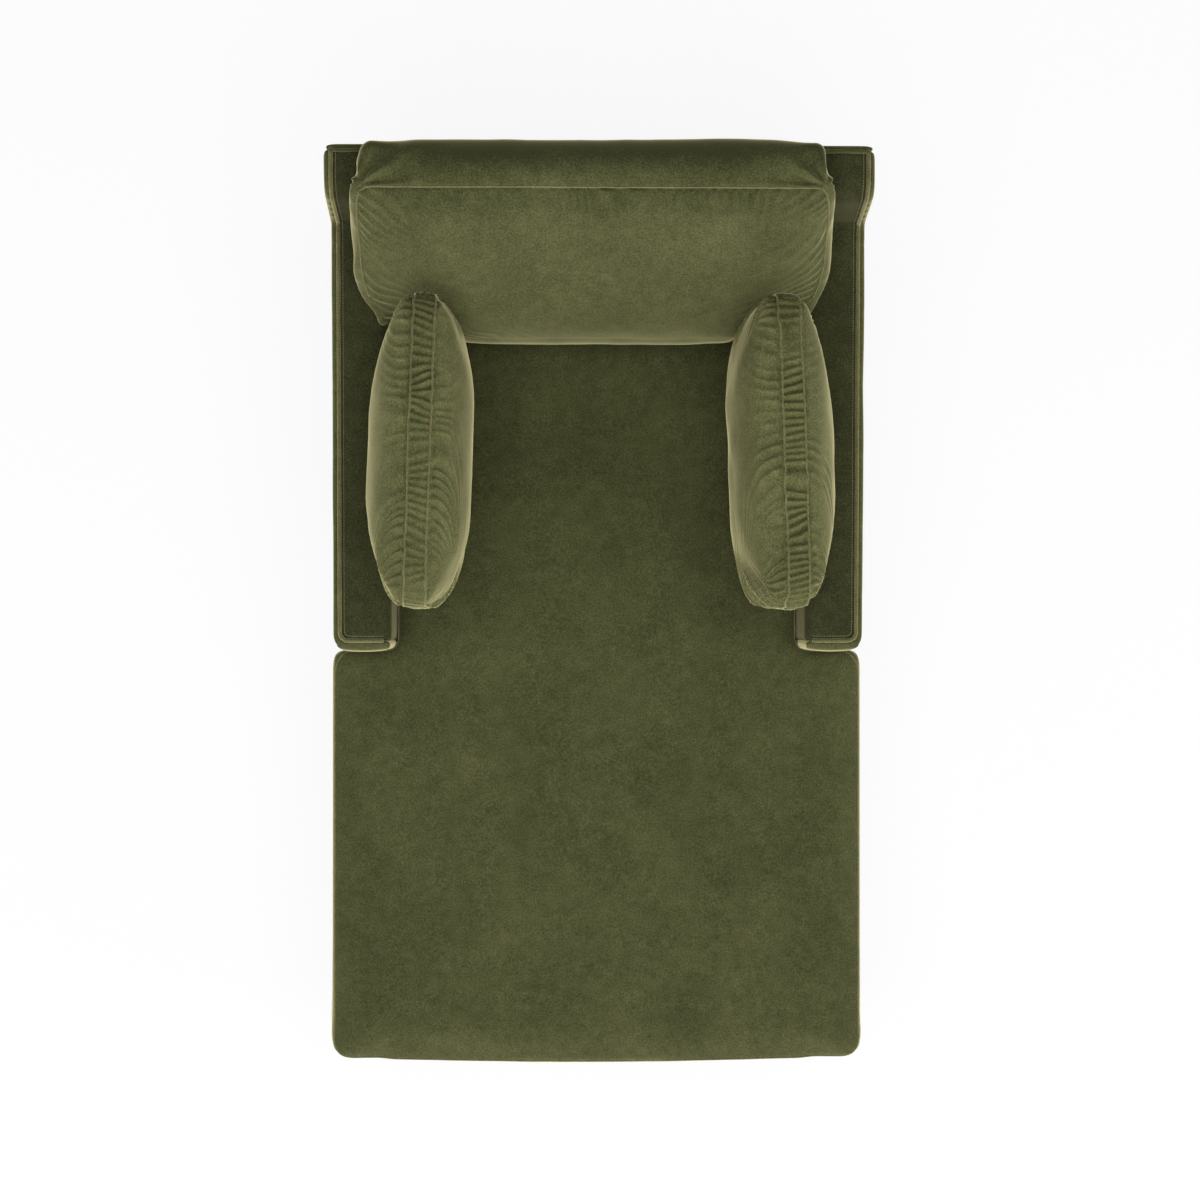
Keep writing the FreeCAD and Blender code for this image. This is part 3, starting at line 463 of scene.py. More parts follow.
def stitches_along(
    name: str, points: Sequence[Vector], ups: Sequence[Vector], stitch: Stitch
) -> Piece:
    """Row of sewn stitches, each a short bead of thread lying on the cloth.

    Args:
        name: name of the piece.
        points: places along the seam, evenly spaced.
        ups: way out of the cloth at each place.
        stitch: size of a stitch.

    Returns:
        The new object.
    """
    bead = bmesh.new()
    width = stitch.thickness
    size = Matrix.Diagonal((stitch.length / 2, width, width * stitch.flatness, 1.0))
    lying = size @ Matrix.Rotation(math.pi / 2, 4, "Y")
    bmesh.ops.create_uvsphere(bead, u_segments=6, v_segments=4, radius=1.0, matrix=lying)
    bead.verts.index_update()
    knots = np.array([v.co for v in bead.verts])
    loops = [[v.index for v in f.verts] for f in bead.faces]
    bead.free()
    rows, faces = [], []
    for i in range(len(points) - 1):
        along = (points[i + 1] - points[i]).normalized()
        across = along.cross(ups[i]).normalized()
        turn = np.array([along, across, across.cross(along)])
        middle = np.array((points[i] + points[i + 1]) / 2 + ups[i] * stitch.rise)
        rows.append(knots @ turn + middle)
        faces += [[k + len(knots) * i for k in loop] for loop in loops]
    mesh = bpy.data.meshes.new(name)
    mesh.from_pydata(np.concatenate(rows), [], faces)
    return from_mesh(name, mesh)


def prism(
    points: Sequence[Point], place: Callable[[float, float], Vector], run: Vector
) -> bmesh.types.BMesh:
    """Extrudes a flat outline.

    Args:
        points: corners of the outline.
        place: puts a corner in space.
        run: way and length of the extrusion.

    Returns:
        A closed bmesh.
    """
    bm = bmesh.new()
    face = bm.faces.new([bm.verts.new(place(u, v)) for u, v in points])
    made = bmesh.ops.extrude_face_region(bm, geom=[face], use_keep_orig=True)
    moved = [g for g in made["geom"] if isinstance(g, bmesh.types.BMVert)]
    bmesh.ops.translate(bm, verts=moved, vec=run)
    bmesh.ops.recalc_face_normals(bm, faces=bm.faces)
    return bm


def bevel_where(
    bm: bmesh.types.BMesh, width: float, segments: int, wanted: Callable[[Vector, Vector], bool]
) -> None:
    """Rounds some edges of a shape.

    Args:
        bm: the shape.
        width: distance from the edge to where the round begins.
        segments: faces round the edge.
        wanted: test of an edge's two ends that picks it.
    """
    edges = [e for e in bm.edges if wanted(e.verts[0].co, e.verts[1].co)]
    bmesh.ops.bevel(
        bm,
        geom=edges,
        offset=width,
        offset_type="OFFSET",
        affect="EDGES",
        segments=segments,
        profile=0.5,
        material=-1,
        clamp_overlap=True,
    )


def both_at(a: float, b: float, goal: float) -> bool:
    """True where two measures are the same as a third."""
    return abs(a - goal) < TOUCH and abs(b - goal) < TOUCH


# Finishes


class Shade:
    """Builds the node tree of one finish."""

    def __init__(self, name: str) -> None:
        """Starts a material with a principled surface.

        Args:
            name: name of the material.
        """
        self.material = bpy.data.materials.new(name)
        self.material.use_nodes = True
        self.tree = self.material.node_tree
        self.surface = self.tree.nodes["Principled BSDF"]
        source = self.tree.nodes.new("ShaderNodeTexCoord")
        self.coords, self.facing = source.outputs["Object"], source.outputs["Normal"]

    def node(self, kind: str, **values: object) -> bpy.types.Node:
        """Adds a node.

        Args:
            kind: type of the node.
            values: its inputs by name, with underscores for spaces.

        Returns:
            The new node.
        """
        made = self.tree.nodes.new(kind)
        for word, value in values.items():
            made.inputs[word.replace("_", " ")].default_value = value
        return made

    def link(self, output: Socket, target: Socket) -> None:
        """Joins two sockets."""
        self.tree.links.new(output, target)

    def noise(self, scale: float, detail: float = 2.0, stretch: Place | None = None) -> Socket:
        """Noise in object space.

        Args:
            scale: waves per metre.
            detail: octaves.
            stretch: scale of each axis, for grain.

        Returns:
            The noise's value socket.
        """
        cloud = self.node("ShaderNodeTexNoise", Scale=scale, Detail=detail)
        source = self.coords
        if stretch is not None:
            mapping = self.node("ShaderNodeMapping", Scale=stretch)
            self.link(source, mapping.inputs["Vector"])
            source = mapping.outputs["Vector"]
        self.link(source, cloud.inputs["Vector"])
        return cloud.outputs["Fac"]

    def ramp(self, value: Socket, places: Sequence[float], colours: Sequence[Colour]) -> None:
        """Colours the surface by a value.

        Args:
            value: socket that drives the colour.
            places: values at which the colours stand.
            colours: linear colour at each of them.
        """
        ramp = self.tree.nodes.new("ShaderNodeValToRGB")
        while len(ramp.color_ramp.elements) < len(places):
            ramp.color_ramp.elements.new(0.5)
        for stop, place, colour in zip(ramp.color_ramp.elements, places, colours):
            stop.position = place
            stop.color = (*colour, 1.0)
        self.link(value, ramp.inputs["Fac"])
        self.link(ramp.outputs["Color"], self.surface.inputs["Base Color"])

    def mix(self, a: Socket, b: Socket, share: float) -> Socket:
        """Weighted mean of two values.

        Args:
            a: first value.
            b: second value.
            share: weight of the second.

        Returns:
            The mean's socket.
        """
        blend = self.node("ShaderNodeMix", Factor=share)
        self.link(a, blend.inputs["A"])
        self.link(b, blend.inputs["B"])
        return blend.outputs["Result"]

    def vector_math(self, kind: str, vector: Socket) -> bpy.types.Node:
        """Adds a vector node and feeds its first input.

        Args:
            kind: what the node does.
            vector: socket that feeds it.

        Returns:
            The new node.
        """
        made = self.tree.nodes.new("ShaderNodeVectorMath")
        made.operation = kind
        self.link(vector, made.inputs[0])
        return made

    def lift(self, value: Socket, ahead: float, aside: float) -> Socket:
        """Paints sheen into the colour: raises a value where the surface turns away from level.

        Args:
            value: socket to raise.
            ahead: rise on faces turned to the foot end, and fall on those turned away from it.
            aside: rise on faces turned to either side.

        Returns:
            The raised value socket.
        """
        # Painted sheen: the value rises with the normal turned to the foot end and to either side.
        size = self.vector_math("ABSOLUTE", self.facing).outputs["Vector"]
        for source, share in ((self.facing, (0.0, -ahead, 0.0)), (size, (aside, 0.0, 0.0))):
            part = self.vector_math("DOT_PRODUCT", source)
            part.inputs[1].default_value = share
            total = self.tree.nodes.new("ShaderNodeMath")
            self.link(value, total.inputs[0])
            self.link(part.outputs["Value"], total.inputs[1])
            value = total.outputs[0]
        return value

    def bump(self, height: Socket, strength: float, distance: float) -> None:
        """Roughens the surface.

        Args:
            height: socket with the height.
            strength: share of the height that shows.
            distance: height of the roughness.
        """
        bump = self.node("ShaderNodeBump", Strength=strength, Distance=distance)
        self.link(height, bump.inputs["Height"])
        self.link(bump.outputs["Normal"], self.surface.inputs["Normal"])

    def set(self, **values: object) -> None:
        """Sets sockets of the surface by name, with underscores for spaces."""
        for word, value in values.items():
            self.surface.inputs[word.replace("_", " ")].default_value = value


@dataclass(frozen=True)
class Finish:
    """A material by its name; each kind of finish paints its own."""

    name: str

    def build(self) -> bpy.types.Material:
        """Makes the material.

        Returns:
            The new material.
        """
        shade = Shade(self.name)
        self.paint(shade)
        return shade.material

    def paint(self, shade: Shade) -> None:
        """Sets up the nodes of the finish."""
        raise NotImplementedError


@dataclass(frozen=True)
class Velvet(Finish):
    """Cut-pile velvet: dark where it faces the eye and pale along every turned edge through its
    sheen, with painted sheen in its colour on faces turned to the foot end and to the sides.

    Attributes:
        deep: colour between the pile.
        face: colour of the upright pile.
        brushed_and_sheen: colour of the brushed pile, and of the painted sheen on turned faces.
        palest_sheen: how many times paler than brushed_and_sheen the palest colour is, reached
            almost only on turned faces, a painted sheen.
        stops: values of the pile tone and painted sheen at which the four colours stand.
        sheen: strength of the sheen.
        sheen_roughness: how far the sheen spreads from the edges.
        sheen_tint: colour of the sheen.
        strokes: strokes of a hand per metre.
        blotches: blotches of crushed pile per metre.
        pile: tufts per metre.
        lean: how much paler faces turned to the foot end are painted, a painted sheen.
        turn: how much paler faces turned to either side are painted, a painted sheen.
    """

    name: str = "velvet"
    deep: Colour = (0.033, 0.037, 0.0125)
    face: Colour = (0.054, 0.058, 0.021)
    brushed_and_sheen: Colour = (0.082, 0.086, 0.034)
    palest_sheen: float = 1.7
    stops: tuple[float, ...] = (0.38, 0.5, 0.63, 0.82)
    sheen: float = 1.0
    sheen_roughness: float = 0.36
    sheen_tint: tuple[float, ...] = (1.0, 0.92, 0.50, 1.0)
    strokes: float = 7.0
    blotches: float = 46.0
    pile: float = 330.0
    lean: float = 0.13
    turn: float = 0.07

    def paint(self, shade: Shade) -> None:
        """Sets up strokes, blotches, pile and painted sheen.

        Args:
            shade: material to paint.
        """
        strokes = shade.noise(self.strokes, detail=3.0)
        blotches = shade.noise(self.blotches, detail=4.0)
        pile = shade.noise(self.pile, detail=2.0)
        pile_tone_and_painted_sheen = shade.mix(shade.mix(strokes, blotches, share=0.50), pile, share=0.58)
        # Painted sheen: the colour turns paler on faces turned to the foot end and to the sides.
        pile_tone_and_painted_sheen = shade.lift(pile_tone_and_painted_sheen, self.lean, self.turn)
        palest_sheen = tuple(part * self.palest_sheen for part in self.brushed_and_sheen)
        shade.ramp(pile_tone_and_painted_sheen, self.stops, (self.deep, self.face, self.brushed_and_sheen, palest_sheen))
        shade.bump(shade.mix(pile, blotches, share=0.3), strength=0.16, distance=0.0012)
        shade.set(
            Roughness=0.92,
            Sheen_Weight=self.sheen,
            Sheen_Roughness=self.sheen_roughness,
            Sheen_Tint=self.sheen_tint,
            Specular_IOR_Level=0.12,
        )


@dataclass(frozen=True)
class TwoTone(Finish):
    """A finish between a dark and a light colour."""

    dark: Colour
    light: Colour

    def tones(self, shade: Shade, value: Socket, half: float = 0.15) -> None:
        """Colours the surface from dark to light.

        Args:
            shade: material to paint.
            value: socket that drives the colour.
            half: half of the change's width, round a value of one half.
        """
        shade.ramp(value, (0.5 - half, 0.5 + half), (self.dark, self.light))


@dataclass(frozen=True)
class Grain(TwoTone):
    """Timber with grain along one axis."""

    roughness: float
    stretch: Place = (1.0, 0.08, 1.0)

    def paint(self, shade: Shade) -> None:
        """Sets up bands and pores.

        Args:
            shade: material to paint.
        """
        bands = shade.noise(60.0, detail=5.0, stretch=self.stretch)
        pores = shade.noise(420.0, detail=2.0, stretch=self.stretch)
        self.tones(shade, shade.mix(bands, pores, share=0.35))
        shade.bump(pores, strength=0.12, distance=0.0006)
        shade.set(Roughness=self.roughness)


@dataclass(frozen=True)
class PlainCloth(TwoTone):
    """Woven, felted or foamed stuff in one colour with a fine grain."""

    grain: float
    depth: float

    def paint(self, shade: Shade) -> None:
        """Sets up a fine and a broad grain.

        Args:
            shade: material to paint.
        """
        fine = shade.noise(self.grain, detail=2.0)
        broad = shade.noise(self.grain / 14, detail=3.0)
        self.tones(shade, shade.mix(fine, broad, share=0.4))
        shade.bump(fine, strength=0.3, distance=self.depth)
        shade.set(Roughness=0.95, Sheen_Weight=0.15)


@dataclass(frozen=True)
class WovenStrap(TwoTone):
    """Jute webbing: two crossed sets of yarn."""

    yarns: float

    def paint(self, shade: Shade) -> None:
        """Sets up the two sets of yarn.

        Args:
            shade: material to paint.
        """
        sets = []
        for axis in ("X", "Y"):
            wave = shade.node("ShaderNodeTexWave", Scale=self.yarns, Distortion=0.6)
            wave.bands_direction = axis
            shade.link(shade.coords, wave.inputs["Vector"])
            sets.append(wave.outputs["Fac"])
        weave = shade.mix(*sets, share=0.5)
        self.tones(shade, shade.mix(weave, shade.noise(30.0), share=0.4), half=0.2)
        shade.bump(weave, strength=0.5, distance=0.0006)
        shade.set(Roughness=0.9)


@dataclass(frozen=True)
class PlatedSteel(TwoTone):
    """Zinc-plated steel with fine turning marks."""

    def paint(self, shade: Shade) -> None:
        """Sets up the marks.

        Args:
            shade: material to paint.
        """
        marks = shade.noise(300.0, detail=3.0, stretch=(1.0, 1.0, 6.0))
        self.tones(shade, marks, half=0.2)
        shade.bump(marks, strength=0.08, distance=0.0003)
        shade.set(Metallic=1.0, Roughness=0.34)


@dataclass(frozen=True)
class Thread(TwoTone):
    """Sewing thread, a little paler than the velvet."""

    def paint(self, shade: Shade) -> None:
        """Sets up the twist.

        Args:
            shade: material to paint.
        """
        twist = shade.noise(900.0, detail=2.0)
        self.tones(shade, twist)
        shade.bump(twist, strength=0.2, distance=0.0003)
        shade.set(Roughness=0.7, Sheen_Weight=0.3)


class Finishes:
    """Every material of the chaise, by the record's slot names."""

    def __init__(self) -> None:
        """Makes the materials."""
        # Velvet of the slot, with painted sheen on faces turned to the foot end and to the sides.
        self.velvet = Velvet().build()
        # Paler velvet for seam ridges and welts: a painted sheen on the raised cloth.
        self.painted_ridge_sheen = Velvet(
            "painted_ridge_sheen_velvet",
            deep=(0.075, 0.071, 0.028),
            face=(0.115, 0.107, 0.045),
            brushed_and_sheen=(0.16, 0.147, 0.065),
        ).build()
        # Darker copy of the velvet for the arm covers: painted shade from the pillows beside them.
        self.arm = Velvet(
            "shaded_arm_velvet",
            deep=(0.020, 0.022, 0.0078),
            face=(0.033, 0.035, 0.013),
            brushed_and_sheen=(0.052, 0.054, 0.021),
            sheen=0.25,
            lean=0.05,
            turn=0.0,
        ).build()
        # Paler copy of the velvet for the pillows, with paler sides: painted light and painted
        # sheen.
        self.pillow = Velvet(
            "lit_pillow_velvet",
            deep=(0.044, 0.047, 0.017),
            face=(0.073, 0.076, 0.0285),
            brushed_and_sheen=(0.112, 0.114, 0.046),
            sheen=0.8,
            sheen_roughness=0.27,
            turn=0.16,
        ).build()
        # Darker copy of the velvet for the back cushion, with faces turned to the foot end painted
        # much paler: painted light on its belly.
        self.cushion = Velvet(
            "front_lit_cushion_velvet",
            deep=(0.030, 0.034, 0.0115),
            face=(0.050, 0.054, 0.0195),
            brushed_and_sheen=(0.080, 0.084, 0.033),
            lean=0.22,
        ).build()
        # Velvet for the outside back, painted paler on faces turned away from the foot end:
        # painted sheen.
        self.rear = Velvet("rear_painted_sheen_velvet", lean=-0.08).build()
        self.thread = Thread("seam_thread", (0.115, 0.105, 0.045), (0.20, 0.18, 0.085)).build()
        plain = {
            "filling": PlainCloth(
                "down_filling", (0.55, 0.53, 0.47), (0.75, 0.73, 0.67), grain=300.0, depth=0.001
            ),
            "foam": PlainCloth(
                "foam", (0.56, 0.50, 0.30), (0.72, 0.66, 0.42), grain=800.0, depth=0.0008
            ),
            "frame_wood": Grain(
                "frame_timber", (0.30, 0.19, 0.10), (0.50, 0.35, 0.20), roughness=0.65
            ),
            "leg_wood": Grain(
                "leg_timber",
                (0.012, 0.0065, 0.0035),
                (0.034, 0.019, 0.011),
                roughness=0.38,
                stretch=(1.0, 1.0, 0.07),
            ),
            "webbing": WovenStrap(
                "jute_webbing", (0.20, 0.15, 0.09), (0.42, 0.34, 0.22), yarns=90.0
            ),
            "deck_cloth": PlainCloth(
                "deck_cloth",
                (0.030, 0.033, 0.016),
                (0.048, 0.052, 0.028),
                grain=700.0,
                depth=0.0006,
            ),
            "dust_cloth": PlainCloth(
                "dust_cloth",
                (0.006, 0.006, 0.006),
                (0.014, 0.014, 0.014),
                grain=500.0,
                depth=0.0005,
            ),
            "steel": PlatedSteel("plated_steel", (0.42, 0.42, 0.40), (0.60, 0.60, 0.58)),
            "glide_felt": PlainCloth(
                "glide_felt", (0.02, 0.02, 0.02), (0.05, 0.05, 0.05), grain=900.0, depth=0.0008
            ),
        }
        self.by_slot = {"velvet": self.velvet}
        self.by_slot.update((slot, finish.build()) for slot, finish in plain.items())

    def dress_frame(self) -> None:
        """Gives every solid of the frame the material of its slot."""
        for part in frame["record"]["subparts"]:
            node = frame["nodes"][part["node"]]
            node.data.materials.clear()
            node.data.materials.append(self.by_slot[part["material_slot"]])


# Soft pieces


@dataclass(frozen=True)
class Puff:
    """How a stuffed piece is blown up.

    Attributes:
        voxel: size of the even quads before the cloth runs.
        calm: rounds of smoothing before the cloth runs.
        pressure: air pressure inside the cover.
        steps: steps of the simulation.
        cap: furthest that a point may move.
        stiffness: how much the cover resists stretching.
        bending: how much it resists bending.
        mass: weight of a point of the cover.
        quality: parts that each step is worked out in.
    """

    voxel: float
    calm: int
    pressure: float
    steps: int
    cap: float
    stiffness: float = 15.0
    bending: float = 0.4
    mass: float = 0.3
    quality: int = 3


def puff_up(piece: Piece, puff: Puff) -> None:
    """Inflates a closed piece as cloth and keeps the result in its mesh.

    Args:
        piece: closed piece of even quads.
        puff: pressure, steps and limits.
    """
    start = places(piece)
    cloth = piece.modifiers.new("Cloth", "CLOTH")
    cloth.point_cache.frame_end = puff.steps
    rules = cloth.settings
    rules.quality = puff.quality
    rules.mass = puff.mass
    rules.tension_stiffness = puff.stiffness
    rules.compression_stiffness = puff.stiffness
    rules.shear_stiffness = puff.stiffness / 3
    rules.bending_stiffness = puff.bending
    rules.use_pressure = True
    rules.uniform_pressure_force = puff.pressure
    rules.effector_weights.gravity = 0.0
    scene = bpy.context.scene
    for step in range(1, puff.steps + 1):
        scene.frame_set(step)
    graph = bpy.context.evaluated_depsgraph_get()
    move = places(piece.evaluated_get(graph)) - start
    length = np.linalg.norm(move, axis=1, keepdims=True)
    move *= np.minimum(1.0, puff.cap / np.maximum(length, TINY))
    piece.modifiers.clear()
    scene.frame_set(1)
    set_places(piece, start + move)


def fit_box(rows: Array, low: Sequence[float], high: Sequence[float]) -> Array:
    """Stretches rows of points a little so that they fill a box.

    Args:
        rows: points, one row each.
        low: least corner of the box.
        high: greatest corner of the box.

    Returns:
        The stretched rows.
    """
    least, most = rows.min(0), rows.max(0)
    return np.array(low) + (rows - least) / (most - least) * (np.array(high) - np.array(low))


@dataclass(frozen=True)
class Waves:
    """Slight unevenness of padded cloth.

    Attributes:
        scale: waves per metre.
        height: height of the waves.
        seed: shifts the pattern.
    """

    scale: float
    height: float
    seed: float

    def at(self, rows: Array, shift: float = 0.0) -> Array:
        """Height of the waves at each row, with the pattern shifted further."""
        return noise_at(rows, self.scale, self.seed + shift) * self.height


@dataclass(frozen=True)
class Patches:
    """How strong folds are from place to place.

    Attributes:
        mean: usual strength.
        spread: how much it differs.
        limits: least and greatest strength.
        scale: patches per metre.
        seed: shifts the pattern.
    """

    mean: float
    spread: float
    limits: tuple[float, float]
    scale: float
    seed: float

    def at(self, rows: Array, shift: float = 0.0) -> Array:
        """Strength at each row, with the pattern shifted further."""
        strength = self.mean + self.spread * noise_at(rows, self.scale, self.seed + shift)
        return np.clip(strength, *self.limits)


def ridges(phase: Array, sharp: float) -> Array:
    """Folds of cloth: rounded valleys and narrower ridges, in 0..1."""
    return (0.5 + 0.5 * np.cos(phase)) ** sharp


@dataclass(frozen=True)
class Folds:
    """Folds that start square to a seam and fade from it.

    Attributes:
        pitch: distance from one fold to the next.
        sharp: how much narrower the ridges are than the valleys.
        level: height of flat cloth as a share of the ridges.
        short: reach of the weakest fold.
        long: how much further a strong one reaches.
    """

    pitch: float
    sharp: float
    level: float
    short: float = 0.0
    long: float = 0.0

    def at(self, run: Array, wander: Array) -> Array:
        """Height of the folds, as a share of a ridge.

        Args:
            run: distance along the seam.
            wander: shift of the pattern, in folds.

        Returns:
            One number for each place.
        """
        return ridges(2 * math.pi * (run / self.pitch + wander), self.sharp) - self.level

    def reach(self, strong: Array) -> Array:
        """How far folds of a strength reach from the seam."""
        return self.short + self.long * strong


@dataclass(frozen=True)
class RoundedFace:
    """Outline of a cushion's face, a rectangle with round corners."""

    half_long: float
    half_high: float
    corner: float

    @property
    def core(self) -> Point:
        """Middle of the corner's arc."""
        return self.half_long - self.corner, self.half_high - self.corner

    def inside(self, u: Array, v: Array) -> Array:
        """How far points lie inside the outline.

        Args:
            u: their places along the face.
            v: their places up the face.

        Returns:
            One distance each, negative outside.
        """
        a, b = np.abs(u) - self.core[0], np.abs(v) - self.core[1]
        outer = np.hypot(np.maximum(a, 0.0), np.maximum(b, 0.0))
        return self.corner - outer - np.minimum(np.maximum(a, b), 0.0)

    def points(self, step: float) -> list[Vector]:
        """Places round the outline, from the middle of the lower side.

        Args:
            step: their spacing.

        Returns:
            Evenly spaced points, with a Z of 0.
        """
        a, b = self.core
        count = max(3, round(math.pi / 2 * self.corner / step))
        line = [Vector((0.0, -self.half_high, 0.0))]
        for x, y, start in ((a, -b, -90.0), (a, b, 0.0), (-a, b, 90.0), (-a, -b, 180.0)):
            for k in range(count + 1):
                turn = math.radians(start + 90.0 * k / count)
                out = (x + self.corner * math.cos(turn), y + self.corner * math.sin(turn), 0.0)
                line.append(Vector(out))
        return resample(line, step, True)

    def run(self, u: Array, v: Array, step: float = 0.004) -> Array:
        """Distance round the outline of the place on it nearest to each point.

        Args:
            u: places of the points along the face.
            v: their places up the face.
            step: spacing of the places that are measured.

        Returns:
            One distance each.
        """
        a, b = self.core
        core_u, core_v = np.clip(u, -a, a), np.clip(v, -b, b)
        far = np.hypot(u - core_u, v - core_v)
        end = self.half_long - np.abs(u) < self.half_high - np.abs(v)
        edge_u = np.where(end, np.sign(u) * self.half_long, u)
        edge_v = np.where(end, v, np.sign(v) * self.half_high)
        out = self.corner / np.maximum(far, TINY)
        u = np.where(far > TINY, core_u + (u - core_u) * out, edge_u)
        v = np.where(far > TINY, core_v + (v - core_v) * out, edge_v)
        ring = np.array(self.points(step))
        turn = np.arctan2(ring[:, 1] / self.half_high, ring[:, 0] / self.half_long)
        order = np.argsort(turn)
        length = np.arange(len(ring)) * step
        angle = np.arctan2(v / self.half_high, u / self.half_long)
        return np.interp(angle, turn[order], length[order])


class Seams:
    """Finds the places of seams on the surface of a finished soft piece."""

    def __init__(self, piece: Piece) -> None:
        """Reads the surface.

        Args:
            piece: finished piece.
        """
        graph = bpy.context.evaluated_depsgraph_get()
        self.surface = BVHTree.FromObject(piece, graph)

    def onto(self, line: Sequence[Vector], lift: float) -> tuple[list[Vector], list[Vector]]:
        """Drops a line onto the surface.

        Args:
            line: points near the surface.
            lift: height of the result above the surface.

        Returns:
            The points on the surface and the way out of it at each.
        """
        points, ups = [], []
        for point in line:
            place, out, _, _ = self.surface.find_nearest(point)
            points.append(place + out * lift)
            ups.append(out)
        return points, ups

    def below(self, line: Sequence[Vector]) -> list[Vector]:
        """Drops a line straight down onto the surface, without the points that miss it."""
        hits = [self.surface.ray_cast(point, Vector((0, 0, -1)))[0] for point in line]
        return [hit for hit in hits if hit is not None]


@dataclass
class Upholstery:
    """Shared ways of stuffing, sewing and placing soft pieces."""

    finishes: Finishes

    SEAM_LIFT = 0.25  # height of a seam's middle above the cloth, as a share of its radius
    SEAM_CALM = 3  # rounds of smoothing along a seam

    def stuffed(self, name: str, puff: Puff) -> Piece:
        """Copies a cushion's filling as even quads and blows it up.

        Args:
            name: name of the cushion.

        Returns:
            The cushion.
        """
        piece = node_copy(f"{name}_filling", name)
        voxel_remesh(piece, puff.voxel)
        relax(piece, puff.calm)
        puff_up(piece, puff)
        return piece

    def place(
        self,
        piece: Piece,
        body: str,
        replaced: Sequence[str] = (),
        fill: float | None = None,
        material: bpy.types.Material | None = None,
    ) -> None:
        """Gives a piece its material and its body, and hides the solids that it stands for.

        Args:
            piece: finished piece.
            body: body that it moves with.
            replaced: solids that it stands for.
            fill: how full a padded piece is, or none; not used.
            material: its material, or velvet.
        """
        piece.data.materials.clear()
        piece.data.materials.append(material or self.finishes.velvet)
        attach(piece, body)
        if replaced:
            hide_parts(*replaced)
        LOG.info("%s: %d faces on %s", piece.name, len(piece.data.polygons), body)

    def seam(
        self,
        name: str,
        body: str,
        on: Seams,
        line: Sequence[Vector],
        radius: float,
        closed: bool,
        sewn: Stitch | None = None,
    ) -> None:
        """Sews a line: a fine ridge of cloth in paler velvet, a painted sheen, with a row of
        stitches on it.

        Args:
            name: name of the seam.
            body: body that it moves with.
            on: surface that it lies on.
            line: points near the surface.
            radius: radius of the ridge.
            closed: whether the line joins its own start.
            sewn: size of the stitches, or none.
        """
        points, _ = on.onto(line, radius * self.SEAM_LIFT)
        points = ease(points, self.SEAM_CALM, closed)
        ridge = tube_along(name, points, radius, closed)
        # The ridge takes the paler velvet, a painted sheen.
        self.place(ridge, body, material=self.finishes.painted_ridge_sheen)
        if sewn is None:
            return
        spots, ups = on.onto(resample(points, sewn.pitch, closed), radius)
        thread = stitches_along(name + "_stitches", spots, ups, sewn)
        self.place(thread, body, material=self.finishes.thread)


